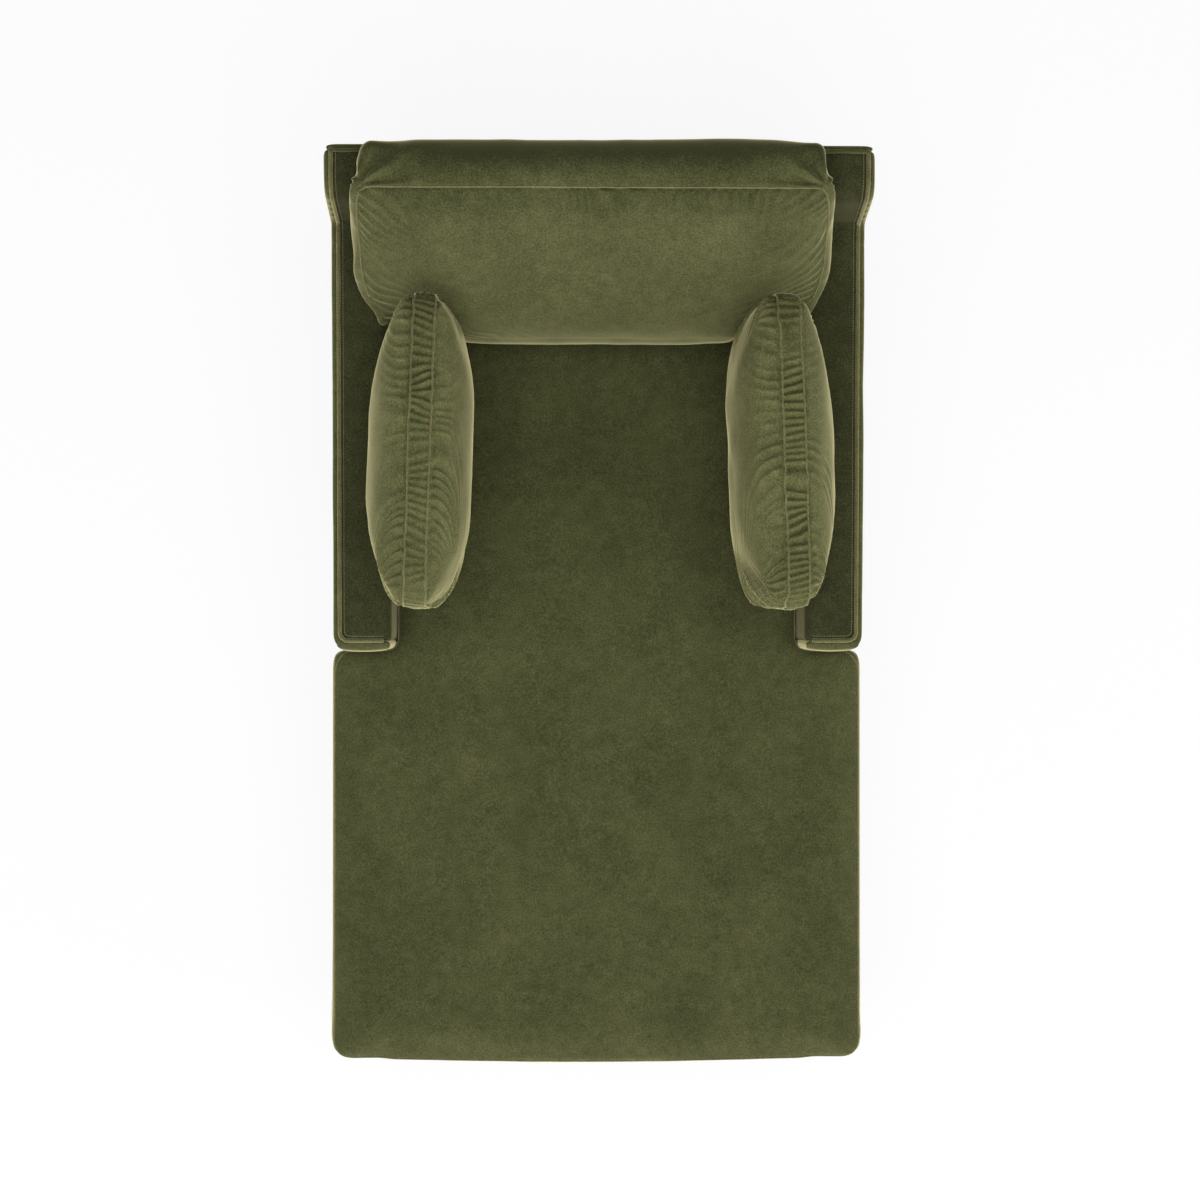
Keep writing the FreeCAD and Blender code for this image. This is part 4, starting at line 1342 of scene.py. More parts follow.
@dataclass
class ArmShape:
    """Side view of an arm, its shoulder and the back, read from the frame where it can be.

    Attributes:
        front_top: height of the arm at its front.
        rear_top: height of the arm at the foot of the step.
        shoulder_depth: length of the shoulder's top.
        shoulder_slope: slope of the step.
        shoulder_round: radius at the top of the step.
        edge_round: radius along the inside of the arm's top.
        corner_round: radius of the upright edge at the arm's front.
        rear_round: radius of the upright edge between outside arm and outside back.
        back_depth: depth of the inside back at its top.
        front, rear: ends of the arm.
        inner, welt, outer: its inside face, its welt and its outside, from the middle.
        pad_front: front of the padded panel.
        top, deck, base: heights of the shoulder, the deck and the panel's lower edge.
        foot, corner: places of the step's foot and top along the arm.
        back_thick: thickness of the outside back.
        rake: how far the back leans for each metre of height.
    """

    front_top: float = 0.612
    rear_top: float = 0.645
    shoulder_depth: float = 0.081
    shoulder_slope: float = math.radians(78.0)
    shoulder_round: float = 0.040
    edge_round: float = 0.014
    corner_round: float = 0.018
    rear_round: float = 0.017
    back_depth: float = 0.075
    front: float = field(init=False)
    rear: float = field(init=False)
    inner: float = field(init=False)
    welt: float = field(init=False)
    outer: float = field(init=False)
    pad_front: float = field(init=False)
    top: float = field(init=False)
    deck: float = field(init=False)
    base: float = field(init=False)
    foot: float = field(init=False)
    corner: float = field(init=False)
    back_thick: float = field(init=False)
    rake: float = field(init=False)

    def __post_init__(self) -> None:
        """Takes the main faces from the frame."""
        cover_low, cover_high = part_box("right_arm_cover")
        panel_low, panel_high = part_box("right_outside_panel")
        back_low, back_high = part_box("outside_back")
        self.front, self.inner, self.welt = cover_low.y, cover_low.x, cover_high.x
        self.outer, self.pad_front, self.base = panel_high.x, panel_low.y, panel_low.z
        self.top, self.deck, self.rear = panel_high.z, cover_low.z, panel_high.y
        self.corner = self.rear - self.shoulder_depth
        self.foot = self.corner - (self.top - self.rear_top) / math.tan(self.shoulder_slope)
        self.back_thick = back_high.y - self.rear
        self.rake = (back_high.y - back_low.y - self.back_thick) / (self.top - self.base)

    @property
    def shoulder_reach(self) -> float:
        """Distance from the shoulder's corner to where its round begins."""
        return self.shoulder_round * math.tan(self.shoulder_slope / 2)

    @property
    def head(self) -> float:
        """Place of the inside back's top along the chaise."""
        return self.rear - self.back_depth

    def seam_y(self, z: Array | float) -> Array | float:
        """Place of the outside back's seam at a height."""
        return self.rear - self.rake * (self.top - z)

    def side_view(self, bottom: float, front: float) -> list[Point]:
        """Corners of the side view, from the front bottom over the top.

        Args:
            bottom: height of its lower edge.
            front: place of its front.

        Returns:
            The corners, along the arm and up.
        """
        return [
            (front, bottom),
            (front, self.front_top),
            (self.foot, self.rear_top),
            (self.corner, self.top),
            (self.rear, self.top),
            (self.seam_y(bottom), bottom),
        ]

    def top_at(self, y: Array) -> Array:
        """Height of the arm's top at each place along it."""
        heights = (self.front_top, self.rear_top, self.top)
        return np.interp(y, (self.front, self.foot, self.corner), heights)

    def round_rear(self, rows: Array) -> Array:
        """Rounds the upright corner between the outside arm and the outside back."""
        radius = self.rear_round
        middle = self.seam_y(rows[:, 2]) + self.back_thick - radius
        return round_upright(rows, self.outer - radius, middle, (1, 1), radius)

    def clear(self, rows: Array, gap: float) -> Array:
        """Pushes points out of both arms, by the nearer of the inside face and the top.

        Args:
            rows: points, one row each.
            gap: distance that stays free.

        Returns:
            The points outside the arms.
        """
        rows = rows.copy()
        deep_in = np.abs(rows[:, 0]) - (self.inner - gap)
        slope = (self.top - self.rear_top) / (self.corner - self.foot)
        lean = np.where(rows[:, 1] > self.foot, math.sqrt(1 + slope**2), 1.0)
        deep_down = (self.top_at(rows[:, 1]) + gap - rows[:, 2]) / lean
        inside = (deep_in > 0) & (deep_down > 0) & (rows[:, 1] > self.front - gap)
        by_face = inside & (deep_in < deep_down)
        by_top = inside & ~by_face
        rows[by_face, 0] = np.sign(rows[by_face, 0]) * (self.inner - gap)
        steep = by_top & (rows[:, 1] > self.foot)
        flat = by_top & ~steep
        rows[flat, 2] = self.top_at(rows[flat, 1]) + gap
        rows[steep, 1] -= deep_down[steep]
        return rows


@dataclass
class Arm(Upholstery):
    """One arm: its cover, its outside panel, its welt and the stitching beside the welt."""

    shape: ArmShape
    side: Side
    crown: float = 0.0035
    gap: float = 0.001
    panel_swell: float = 0.004
    panel_border: float = 0.11
    front_swell: float = 0.006
    tuck: float = 0.004
    side_roll: float = 0.011
    front_roll: float = 0.034
    corner_share: float = 2.6
    welt_radius: float = 0.0036
    welt_lift: float = 0.2
    welt_end: float = 0.004
    step_round: float = 0.008
    stitch_gap: float = 0.0085
    sewn: Stitch = Stitch(pitch=0.005, length=0.0038, thickness=0.0007)
    cover_voxel: float = 0.0065
    panel_voxel: float = 0.0055
    cover_waves: tuple[Waves, ...] = (Waves(9.0, 0.0008, 3.0), Waves(28.0, 0.0004, 7.0))
    panel_waves: Waves = Waves(8.0, 0.0008, 11.0)

    def build(self) -> None:
        """Makes every piece of the arm."""
        self.build_cover()
        self.build_panel()
        self.build_welt()

    def across(self, x: float) -> Callable[[float, float], Vector]:
        """Places a side view at a distance from the middle, on this arm's side."""
        return lambda y, z: Vector((self.side.value * x, y, z))

    def build_cover(self) -> None:
        """Velvet over the top, the inside and the front of the arm and over its shoulder."""
        shape, sign = self.shape, self.side.value
        half_gap = self.gap / 2
        bm = prism(
            shape.side_view(shape.deck + self.gap, shape.front),
            self.across(shape.welt - half_gap),
            Vector((-sign * (shape.welt - shape.inner - half_gap), 0, 0)),
        )
        bevel_where(bm, shape.shoulder_reach, SHOULDER_STEPS, self.is_shoulder_corner)
        bevel_where(bm, shape.corner_round, BEND_STEPS, self.is_front_upright)
        bevel_where(bm, shape.edge_round, BEND_STEPS, self.is_top_rim)
        piece = from_bmesh(f"{self.side.word}_arm", bm)
        voxel_remesh(piece, self.cover_voxel)
        relax(piece, 4)
        rows, out = places(piece), normals(piece)
        middle, half = (shape.inner + shape.welt) / 2, (shape.welt - shape.inner) / 2
        aside = (np.abs(rows[:, 0]) - middle) / half
        over = np.clip(1 - aside**2, 0.0, 1.0) * smooth_step(*LEVEL, out[:, 2])
        soft = sum(waves.at(rows, sign) for waves in self.cover_waves)
        push_out(piece, rows, out, over * self.crown + soft)
        # The arm cover takes the darker arm velvet, a painted shade.
        self.place(piece, "frame", [f"{self.side.word}_arm_cover"], 0.9, self.finishes.arm)
        self.sew_beside_welt(piece)

    def is_shoulder_corner(self, a: Vector, b: Vector) -> bool:
        """True for the edge across the top of the step."""
        return both_at(a.y, b.y, self.shape.corner)

    def is_front_upright(self, a: Vector, b: Vector) -> bool:
        """True for the upright outer edge at the arm's front."""
        outside = min(abs(a.x), abs(b.x)) > self.shape.inner + 0.01
        return outside and both_at(a.y, b.y, self.shape.front) and abs(a.z - b.z) > UPRIGHT

    def is_top_rim(self, a: Vector, b: Vector) -> bool:
        """True for the edges along the inside and the front of the arm's top.

        Args:
            a: one end of the edge.
            b: its other end.

        Returns:
            Whether it is one of them.
        """
        if min(a.z, b.z) < self.shape.front_top - 0.05:
            return False
        inside = both_at(abs(a.x), abs(b.x), self.shape.inner)
        near_front = max(a.y, b.y) < self.shape.front + self.shape.corner_round + TOUCH
        return (inside or near_front) and abs(a.z - b.z) < 0.3

    def welt_line(self, inset: float, rise: float, step: float) -> list[Vector]:
        """Line across the arm's front, along it, up the step and over the shoulder.

        Args:
            inset: distance in from the arm's outer edge.
            rise: height above the arm's top.
            step: spacing of the points.

        Returns:
            Points of the line.
        """
        shape = self.shape
        start = self.across(shape.inner + shape.edge_round)
        at = self.across(shape.welt - inset)
        foot = shape.foot - rise / math.tan((math.pi - shape.shoulder_slope) / 2)
        corner = shape.corner - rise * math.tan(shape.shoulder_slope / 2)
        corners = [
            start(shape.front + inset, shape.front_top + rise),
            at(shape.front + inset, shape.front_top + rise),
            at(foot, shape.rear_top + rise),
            at(corner, shape.top + rise),
            at(shape.rear - self.welt_end, shape.top + rise),
        ]
        front_round = shape.corner_round - inset * 0.8
        rounds = [0.0, front_round, self.step_round, shape.shoulder_round, 0.0]
        return rounded_path(corners, rounds, step)

    def build_welt(self) -> None:
        """Piped seam between the arm cover and the outside panel, in paler velvet, a painted
        sheen.
        """
        line = self.welt_line(self.welt_radius, self.welt_radius * self.welt_lift, SEAM_STEP)
        welt = tube_along(f"{self.side.word}_welt", line, self.welt_radius)
        # The welt takes the paler velvet, a painted sheen.
        self.place(welt, "frame", [f"{self.side.word}_arm_welt"], material=self.finishes.painted_ridge_sheen)

    def sew_beside_welt(self, cover: Piece) -> None:
        """Top stitching on the arm cover, just inside the welt.

        Args:
            cover: finished arm cover.
        """
        line = self.welt_line(self.welt_radius + self.stitch_gap, rise=0.002, step=0.004)
        points, ups = Seams(cover).onto(resample(line, self.sewn.pitch), 0.0)
        thread = stitches_along(f"{self.side.word}_arm_stitches", points, ups, self.sewn)
        self.place(thread, "frame", material=self.finishes.thread)

    def build_panel(self) -> None:
        """Padded outside arm, wrapped round the corner over the arm's front."""
        shape = self.shape
        piece = from_bmesh(f"{self.side.word}_outside_arm", self.panel_block())
        voxel_remesh(piece, self.panel_voxel)
        rows = self.roll_off(self.round_front(places(piece)))
        set_places(piece, shape.round_rear(rows))
        relax(piece, 3)
        rows, out = places(piece), normals(piece)
        sideways = smooth_step(*FACING, np.abs(out[:, 0]))
        forward = smooth_step(*FACING, -out[:, 1]) * (rows[:, 1] < shape.front)
        border = np.minimum.reduce([
            rows[:, 2] - shape.base,
            shape.top_at(rows[:, 1]) - rows[:, 2],
            rows[:, 1] - shape.pad_front,
            shape.seam_y(rows[:, 2]) - rows[:, 1],
        ])
        swell = smooth_step(0.0, self.panel_border, border) * sideways * self.panel_swell
        along = (np.abs(rows[:, 0]) - shape.inner) / (shape.outer - shape.inner)
        bulge = forward * hump(along) ** 0.7 * self.front_swell
        soft = self.panel_waves.at(rows, self.side.value)
        push_out(piece, rows, out, swell + bulge + soft)
        self.place(piece, "frame", [f"{self.side.word}_outside_panel"], 0.9)

    def panel_block(self) -> bmesh.types.BMesh:
        """Square form of the panel: the outside arm, and the pad on the arm's front.

        Returns:
            Two closed blocks that overlap, in one bmesh.
        """
        shape, sign = self.shape, self.side.value
        side = prism(
            shape.side_view(shape.base, shape.pad_front),
            self.across(shape.outer),
            Vector((-sign * (shape.outer - shape.welt + self.tuck), 0, 0)),
        )
        bevel_where(side, shape.shoulder_reach, SHOULDER_STEPS, self.is_shoulder_corner)
        inner, rear = shape.inner + self.gap, shape.front + self.tuck
        pad = [
            (shape.outer, shape.pad_front),
            (inner, shape.pad_front),
            (inner, rear),
            (shape.outer, rear),
        ]
        front = prism(
            [(sign * x, y) for x, y in pad],
            lambda x, y: Vector((x, y, shape.deck + 2 * self.gap)),
            Vector((0, 0, shape.front_top - shape.deck - 3 * self.gap)),
        )
        mesh = bpy.data.meshes.new("pad")
        front.to_mesh(mesh)
        front.free()
        side.from_mesh(mesh)
        bpy.data.meshes.remove(mesh)
        return side

    def roll_off(self, rows: Array) -> Array:
        """Rounds the upper edge of the panel down from the welt, most at the arm's front.

        Args:
            rows: points of the panel.

        Returns:
            The points under the rounded edge.
        """
        shape = self.shape
        rows = rows.copy()
        aside = (np.abs(rows[:, 0]) - shape.welt) / (shape.outer - shape.welt)
        ahead = (shape.front - rows[:, 1]) / (shape.front - shape.pad_front)
        top = shape.top_at(rows[:, 1])
        drop = np.zeros(len(rows))
        for share, roll in ((aside, self.side_roll), (ahead, self.front_roll)):
            drop += roll * (1 - np.sqrt(1 - np.clip(share, 0.0, 1.0) ** 2))
        rows[:, 2] = np.minimum(rows[:, 2], top - drop)
        return rows

    def round_front(self, rows: Array) -> Array:
        """Rounds the panel's upright corners at the arm's front, the inner one less.

        Args:
            rows: points of the panel.

        Returns:
            The points inside the rounded corners.
        """
        shape = self.shape
        small = shape.front - shape.pad_front
        rows = round_upright(rows, shape.inner + small, shape.front, (-1, -1), small)
        large = (shape.outer - shape.welt) * self.corner_share
        return round_upright(rows, shape.outer - large, shape.pad_front + large, (1, -1), large)


@dataclass
class Back(Upholstery):
    """The fixed back: velvet inside back, padded outside back and the welt along its top."""

    shape: ArmShape
    voxel: float = 0.0065
    cover: float = 0.0025
    overlap: float = 0.008
    top_round: float = 0.018
    swell: float = 0.006
    border: float = 0.12
    top_roll: float = 0.7
    welt_radius: float = 0.0036
    inside_waves: Waves = Waves(8.0, 0.001, 21.0)
    outside_waves: Waves = Waves(7.0, 0.0008, 31.0)

    def build(self) -> None:
        """Makes the back's pieces."""
        self.build_inside()
        self.build_outside()
        self.build_welt()

    def slab(self, profile: Sequence[Point], half: float) -> bmesh.types.BMesh:
        """Extrudes a side view of the back to both sides of the middle."""
        return prism(profile, lambda y, z: Vector((-half, y, z)), Vector((2 * half, 0, 0)))

    def build_inside(self) -> None:
        """Padded inside back between the arms, rolled over the top."""
        shape = self.shape
        low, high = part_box("back_cover")
        profile = [
            (low.y, low.z),
            (shape.head, shape.top),
            (shape.rear, shape.top),
            (shape.seam_y(low.z), low.z),
        ]
        bm = self.slab(profile, high.x + self.overlap)
        bevel_where(
            bm,
            self.top_round,
            BEND_STEPS,
            lambda a, b: both_at(a.z, b.z, shape.top) and abs(a.x - b.x) > UPRIGHT,
        )
        piece = from_bmesh("inside_back", bm)
        voxel_remesh(piece, self.voxel)
        relax(piece, 2)
        rows, out = places(piece), normals(piece)
        soft = np.maximum(self.inside_waves.at(rows), 0.0)
        push_out(piece, rows, out, self.cover + soft)
        self.place(piece, "frame", ["back_cover"], 0.85)

    def build_outside(self) -> None:
        """Padded panel that closes the back from arm to arm."""
        shape = self.shape
        low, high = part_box("outside_back")
        thick = shape.back_thick
        profile = [
            (shape.seam_y(low.z), low.z),
            (shape.rear, shape.top),
            (high.y, shape.top),
            (shape.seam_y(low.z) + thick, low.z),
        ]
        piece = from_bmesh("outside_back_panel", self.slab(profile, shape.outer))
        voxel_remesh(piece, self.voxel)
        rows = places(piece)
        over = np.clip((rows[:, 2] - shape.top + thick) / thick, 0.0, 1.0)
        depth = rows[:, 1] - shape.seam_y(rows[:, 2])
        rows[:, 1] -= depth * (1 - np.sqrt(1 - (over * self.top_roll) ** 2))
        set_places(piece, shape.round_rear(rows))
        relax(piece, 2)
        rows, out = places(piece), normals(piece)
        edges = [high.x - np.abs(rows[:, 0]), shape.top - rows[:, 2], rows[:, 2] - low.z]
        swell = smooth_step(0.0, self.border, np.minimum.reduce(edges)) * self.swell
        swell *= smooth_step(*FACING, out[:, 1])
        push_out(piece, rows, out, swell + self.outside_waves.at(rows))
        # The outside back takes the rear velvet, with painted sheen on faces turned to the rear.
        self.place(piece, "frame", ["outside_back"], 0.9, self.finishes.rear)

    def build_welt(self) -> None:
        """Piped seam along the top of the outside back."""
        low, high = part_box("back_welt")
        middle = (low + high) / 2
        line = [Vector((x, middle.y, middle.z)) for x in np.linspace(low.x, high.x, 160)]
        self.place(tube_along("top_welt", line, self.welt_radius), "frame", ["back_welt"])


@dataclass
class Base(Upholstery):
    """Velvet round the base, ahead of the arms."""

    below: Place = (0.001, 0.001, 0.004)
    beyond: Place = (0.001, 0.008, -0.0005)
    voxel: float = 0.006
    corner: float = 0.018
    swell: float = 0.003
    deck_drop: float = 0.012
    lip: tuple[float, float] = (0.014, 0.022)
    rear: float = 0.02
    waves: Waves = Waves(8.0, 0.0008, 41.0)

    def build(self) -> None:
        """Makes the base cover."""
        low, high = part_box("base_cover")
        low, high = low - Vector(self.below), high + Vector(self.beyond)
        plan = [(low.x, high.y), (low.x, low.y), (high.x, low.y), (high.x, high.y)]
        bm = prism(plan, lambda x, y: Vector((x, y, low.z)), Vector((0, 0, high.z - low.z)))
        bevel_where(
            bm,
            self.corner,
            BEND_STEPS,
            lambda a, b: both_at(a.y, b.y, low.y) and abs(a.z - b.z) > UPRIGHT,
        )
        piece = from_bmesh("base_front", bm)
        voxel_remesh(piece, self.voxel)
        relax(piece, 2)
        rows, out = places(piece), normals(piece)
        upright = 1 - np.abs(out[:, 2])
        rise = (rows[:, 2] - low.z) / (high.z - low.z)
        belly = hump(rise) * upright * (rows[:, 1] < high.y - self.rear)
        border = np.minimum(high.x - np.abs(rows[:, 0]), rows[:, 1] - low.y)
        under = smooth_step(*self.lip, border) * smooth_step(*LEVEL, out[:, 2])
        rows = rows + out * (belly * self.swell + self.waves.at(rows) * upright)[:, None]
        rows[:, 2] -= self.deck_drop * under
        set_places(piece, rows)
        self.place(piece, "frame", ["base_cover"], 0.9)


@dataclass
class SeatCushion(Upholstery):
    """Loose T-shaped seat cushion, boxed, with a low crown."""

    shape: ArmShape
    puff: Puff = Puff(voxel=0.012, calm=2, pressure=3.0, steps=16, cap=0.010)
    proud: float = 0.007
    arm_gap: float = 0.0015
    waves: tuple[Waves, ...] = (Waves(4.0, 0.0016, 51.0), Waves(13.0, 0.0007, 52.0))
    seam_height: float = 0.148
    seam_radius: float = 0.0016
    seam_tuck: float = 0.01
    ear_gap: float = 0.004
    ear_round: float = 0.055
    front_round: float = 0.042
    bow: float = 0.016
    bow_proud: float = 0.004
    bow_round: float = 5.0

    def build(self) -> None:
        """Blows up the cushion and sews its upper seam."""
        piece = self.stuffed("seat_cushion", self.puff)
        low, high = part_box("seat_cushion_cover")
        least = (low.x - self.proud, low.y, low.z)
        most = (high.x + self.proud, high.y, high.z)
        rows = fit_box(places(piece), least, most)
        rows[:, 2] = np.maximum(rows[:, 2], low.z)
        between = rows[:, 1] > self.shape.pad_front
        reach = self.shape.inner - self.arm_gap
        rows[between, 0] = np.clip(rows[between, 0], -reach, reach)
        set_places(piece, rows)
        subdivide(piece)
        rows, out = places(piece), normals(piece)
        soft = sum(waves.at(rows) for waves in self.waves)
        push_out(piece, rows, out, soft * smooth_step(0.4, 0.9, out[:, 2]))
        solids = ["seat_cushion_cover", "seat_cushion_filling"]
        self.place(piece, "seat_cushion", solids, 0.85)
        self.sew(piece, low, high)

    def sew(self, piece: Piece, low: Vector, high: Vector) -> None:
        """Runs the upper seam round the front of the cushion.

        Args:
            piece: finished cushion.
            low: least corner of the solid.
            high: greatest corner of the solid.
        """
        z = low.z + self.seam_height
        ear, end = self.shape.pad_front - self.ear_gap, self.shape.inner - self.seam_tuck
        plan = [
            (-end, ear),
            (low.x, ear),
            (low.x, low.y + self.bow),
            (0.0, low.y - self.bow_proud),
            (high.x, low.y + self.bow),
            (high.x, ear),
            (end, ear),
        ]
        side = [0.0, self.ear_round, self.front_round]
        rounds = [*side, self.bow_round, *reversed(side)]
        line = rounded_path([Vector((x, y, z)) for x, y in plan], rounds, SEAM_STEP)
        on = Seams(piece)
        self.seam("seat_seam", "seat_cushion", on, line, self.seam_radius, closed=False)


@dataclass
class PillowPlace:
    """Where one pillow stands, and its form: a boxing between two crowned faces."""

    side: Side
    offset: float
    lean: float
    turn: float = math.radians(2.0)
    long: float = 0.566
    tall: float = 0.410
    boxing: float = 0.044
    corner: float = 0.062
    inner_crown: float = 0.0685
    outer_crown: float = 0.0815
    back: float = 0.004

    @property
    def face(self) -> RoundedFace:
        """Outline of the pillow's face."""
        return RoundedFace(self.long / 2, self.tall / 2, self.corner)

    @property
    def matrix(self) -> Matrix:
        """Place of the pillow: X through it towards the sitter, Y along it, Z up it."""
        sign = self.side.value
        low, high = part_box(f"{self.side.word}_pillow_cover")
        y, z = (low.y + high.y) / 2 + self.back, (low.z + high.z) / 2
        spot = Vector((sign * self.offset, y, z))
        lean = Matrix.Rotation(sign * self.lean, 4, "Y")
        turn = Matrix.Rotation(sign * self.turn, 4, "Z")
        flip = Matrix.Diagonal((-sign, 1.0, 1.0, 1.0))
        return Matrix.Translation(spot) @ turn @ lean @ flip

    def to_local(self, rows: Array) -> Array:
        """Points of the chaise in the pillow's own place."""
        m = np.array(self.matrix.inverted())
        return rows @ m[:3, :3].T + m[:3, 3]

    def to_world(self, rows: Array) -> Array:
        """Points of the pillow's own place in the chaise."""
        m = np.array(self.matrix)
        return rows @ m[:3, :3].T + m[:3, 3]

    def clear(self, rows: Array, gap: float) -> Array:
        """Pushes points out of the pillow's plan, past its rear end or its nearer face.

        Args:
            rows: points, one row each.
            gap: distance that stays free.

        Returns:
            The points outside the pillow.
        """
        local = self.to_local(rows)
        t, u = local[:, 0], local[:, 1]
        full = np.clip(1 - (u / (self.long / 2)) ** 2, 0.0, 1.0)
        inner = self.boxing / 2 + self.inner_crown * full + gap
        outer = self.boxing / 2 + self.outer_crown * full + gap
        past = self.long / 2 + gap - u
        aside = np.where(t > 0, inner - t, outer + t)
        inside = (past > 0) & (aside > 0)
        back = inside & (past < aside * 1.5)
        local[back, 1] += past[back]
        across = inside & ~back
        local[across, 0] += (np.where(t > 0, 1.0, -1.0) * aside)[across]
        return self.to_world(local)


@dataclass
class BackCushion(Upholstery):
    """Loose back cushion: full and low in front, slumped over the top of the back.

    Attributes:
        shape: side view of the arms and the back.
        pillows: places of the pillows that dent it.
        puff: how the cushion is blown up.
        proud, spread, slump: how far it swells ahead and up, to the sides and to the rear.
        rest: how flat its underside lies, and up to which height.
        corner_draw: how far its rear corners are drawn in.
        draw_band: distances from its rear between which that begins and is full.
        drift: how far its upper part has slid to the side.
        drift_band: heights between which that begins and is full.
        left_sag: how far its left side hangs out.
        sag_rear, sag_front, sag_side: places along and across where that begins and is full.
        pillow_gap, arm_gap, back_gap, top_gap: room to its neighbours.
        strip: distance of the side seams from its sides.
        top_boxing: width of the boxing along its top.
        belly: how far the face swells.
        face_length: length of the face from the top seam down.
        fold: height of the folds along the side seams.
        front_fold, corner_fold: height of the other folds, in those.
        front_folds, side_folds: folds from the top seam and from the side seams.
        front_patches, side_patches: where those are strong.
        slant: how much the side folds run down as they run in.
        corner_rays: folds round a corner of the boxing, in radians.
        corner_reach: how far those reach.
        groove, groove_width: depth and width of the dent along the seams.
        waves: unevenness of the cloth.
        seam_radius: radius of the seam.
        seam_corner: radius of its corners.
    """

    shape: ArmShape
    pillows: Sequence[PillowPlace]
    puff: Puff = Puff(voxel=0.0062, calm=3, pressure=4.0, steps=12, cap=0.018)
    proud: float = 0.006
    spread: float = 0.009
    slump: float = 0.012
    rest: tuple[float, float] = (0.85, 0.10)
    corner_draw: float = 0.027
    draw_band: tuple[float, float] = (0.115, 0.008)
    drift: float = -0.014
    drift_band: tuple[float, float] = (0.12, 0.28)
    left_sag: float = 0.018
    sag_rear: tuple[float, float] = (0.68, 0.60)
    sag_front: tuple[float, float] = (0.48, 0.55)
    sag_side: tuple[float, float] = (0.1, 0.36)
    pillow_gap: float = 0.003
    arm_gap: float = 0.0015
    back_gap: float = 0.005
    top_gap: float = 0.008
    strip: float = 0.017
    top_boxing: float = 0.092
    belly: float = 0.016
    face_length: float = 0.35
    fold: float = 0.0052
    front_fold: float = 1.5
    corner_fold: float = 3.2
    front_folds: Folds = Folds(0.023, sharp=1.8, level=0.4, short=0.020, long=0.022)
    side_folds: Folds = Folds(0.0225, sharp=2.0, level=0.35, short=0.028, long=0.050)
    front_patches: Patches = Patches(0.4, 1.0, (0.0, 1.1), scale=11.0, seed=62.0)
    side_patches: Patches = Patches(0.45, 0.9, (0.0, 1.2), scale=15.0, seed=64.0)
    slant: float = 0.75
    corner_rays: float = 9.0
    corner_reach: float = 0.06
    groove: float = 0.0016
    groove_width: float = 0.005
    waves: tuple[Waves, ...] = (Waves(9.0, 0.0022, 63.0), Waves(24.0, 0.0008, 67.0))
    seam_radius: float = 0.0017
    seam_corner: float = 0.022

    @property
    def top_seam(self) -> float:
        """Place along the chaise of the seam between the face and the top boxing."""
        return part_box("back_cushion_cover")[1].y + self.slump - self.top_boxing

    def build(self) -> None:
        """Blows up the cushion, puckers it along its seams and sews them."""
        piece = self.stuffed("back_cushion", self.puff)
        set_places(piece, self.settle(self.slouch(places(piece))))
        relax(piece, 5)
        subdivide(piece)
        self.pucker(piece)
        set_places(piece, self.settle(places(piece)))
        solids = ["back_cushion_cover", "back_cushion_filling"]
        # The cushion takes the cushion velvet, with painted light on its belly.
        self.place(piece, "back_cushion", solids, 0.7, self.finishes.cushion)
        self.sew(piece)

    def slouch(self, rows: Array) -> Array:
        """Gives the cushion its size and lets it lie as it is used.

        Args:
            rows: points of the cushion.

        Returns:
            The moved points.
        """
        low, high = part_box("back_cushion_cover")
        least = (low.x - self.spread, low.y - self.proud, low.z)
        most = (high.x + self.spread, high.y + self.slump, high.z + self.proud)
        rows = fit_box(rows, least, most)
        flat, height = self.rest
        rise = rows[:, 2] - low.z
        rows[:, 2] -= rise * flat * smooth_step(height, 0.0, rise)
        rear, full = (most[1] - part for part in self.draw_band)
        drawn = self.corner_draw * smooth_step(rear, full, rows[:, 1])
        rows[:, 0] *= 1 - drawn / most[0]
        lower, upper = (low.z + part for part in self.drift_band)
        rows[:, 0] += self.drift * smooth_step(lower, upper, rows[:, 2])
        sag = smooth_step(*self.sag_rear, rows[:, 1]) * smooth_step(*self.sag_front, rows[:, 1])
        rows[:, 0] -= self.left_sag * sag * smooth_step(*self.sag_side, -rows[:, 0])
        return rows

    def settle(self, rows: Array) -> Array:
        """Keeps the cushion off the inside back, the arms, the pillows and the seat.

        Args:
            rows: points of the cushion.

        Returns:
            The points clear of its neighbours.
        """
        shape = self.shape
        for pillow in self.pillows:
            rows = pillow.clear(rows, self.pillow_gap)
        rows = shape.clear(rows, self.arm_gap)
        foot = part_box("back_cover")[0].y
        rise = (rows[:, 2] - shape.deck) / (shape.top - shape.deck)
        face = foot + (shape.head - foot) * rise - self.back_gap
        over = shape.top + self.top_gap
        behind = (rows[:, 1] > face) & (rows[:, 2] < over)
        upward = behind & (over - rows[:, 2] < rows[:, 1] - face)
        rows[upward, 2] = over
        inward = behind & ~upward
        rows[inward, 1] = face[inward]
        rows[:, 2] = np.maximum(rows[:, 2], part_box("back_cushion_cover")[0].z)
        return rows

    def side_seams(self, rows: Array, step: float = 0.01) -> tuple[Array, Array, Array]:
        """Runs of the side seams, a strip in from the cushion's widest places.

        Args:
            rows: vertex places of the cushion.
            step: spacing of the places.

        Returns:
            Places along the cushion, and the X of the left and of the right seam at each.
        """
        spots = np.arange(rows[:, 1].min() + 2 * step, rows[:, 1].max() - step, step)
        near = [rows[np.abs(rows[:, 1] - y) < step, 0] for y in spots]
        calm = np.hanning(9) / np.hanning(9).sum()
        ends = [np.pad([widest(x) for x in near], 4, "edge") for widest in (np.min, np.max)]
        left, right = (np.convolve(end, calm, "valid") for end in ends)
        return spots, left + self.strip, right - self.strip

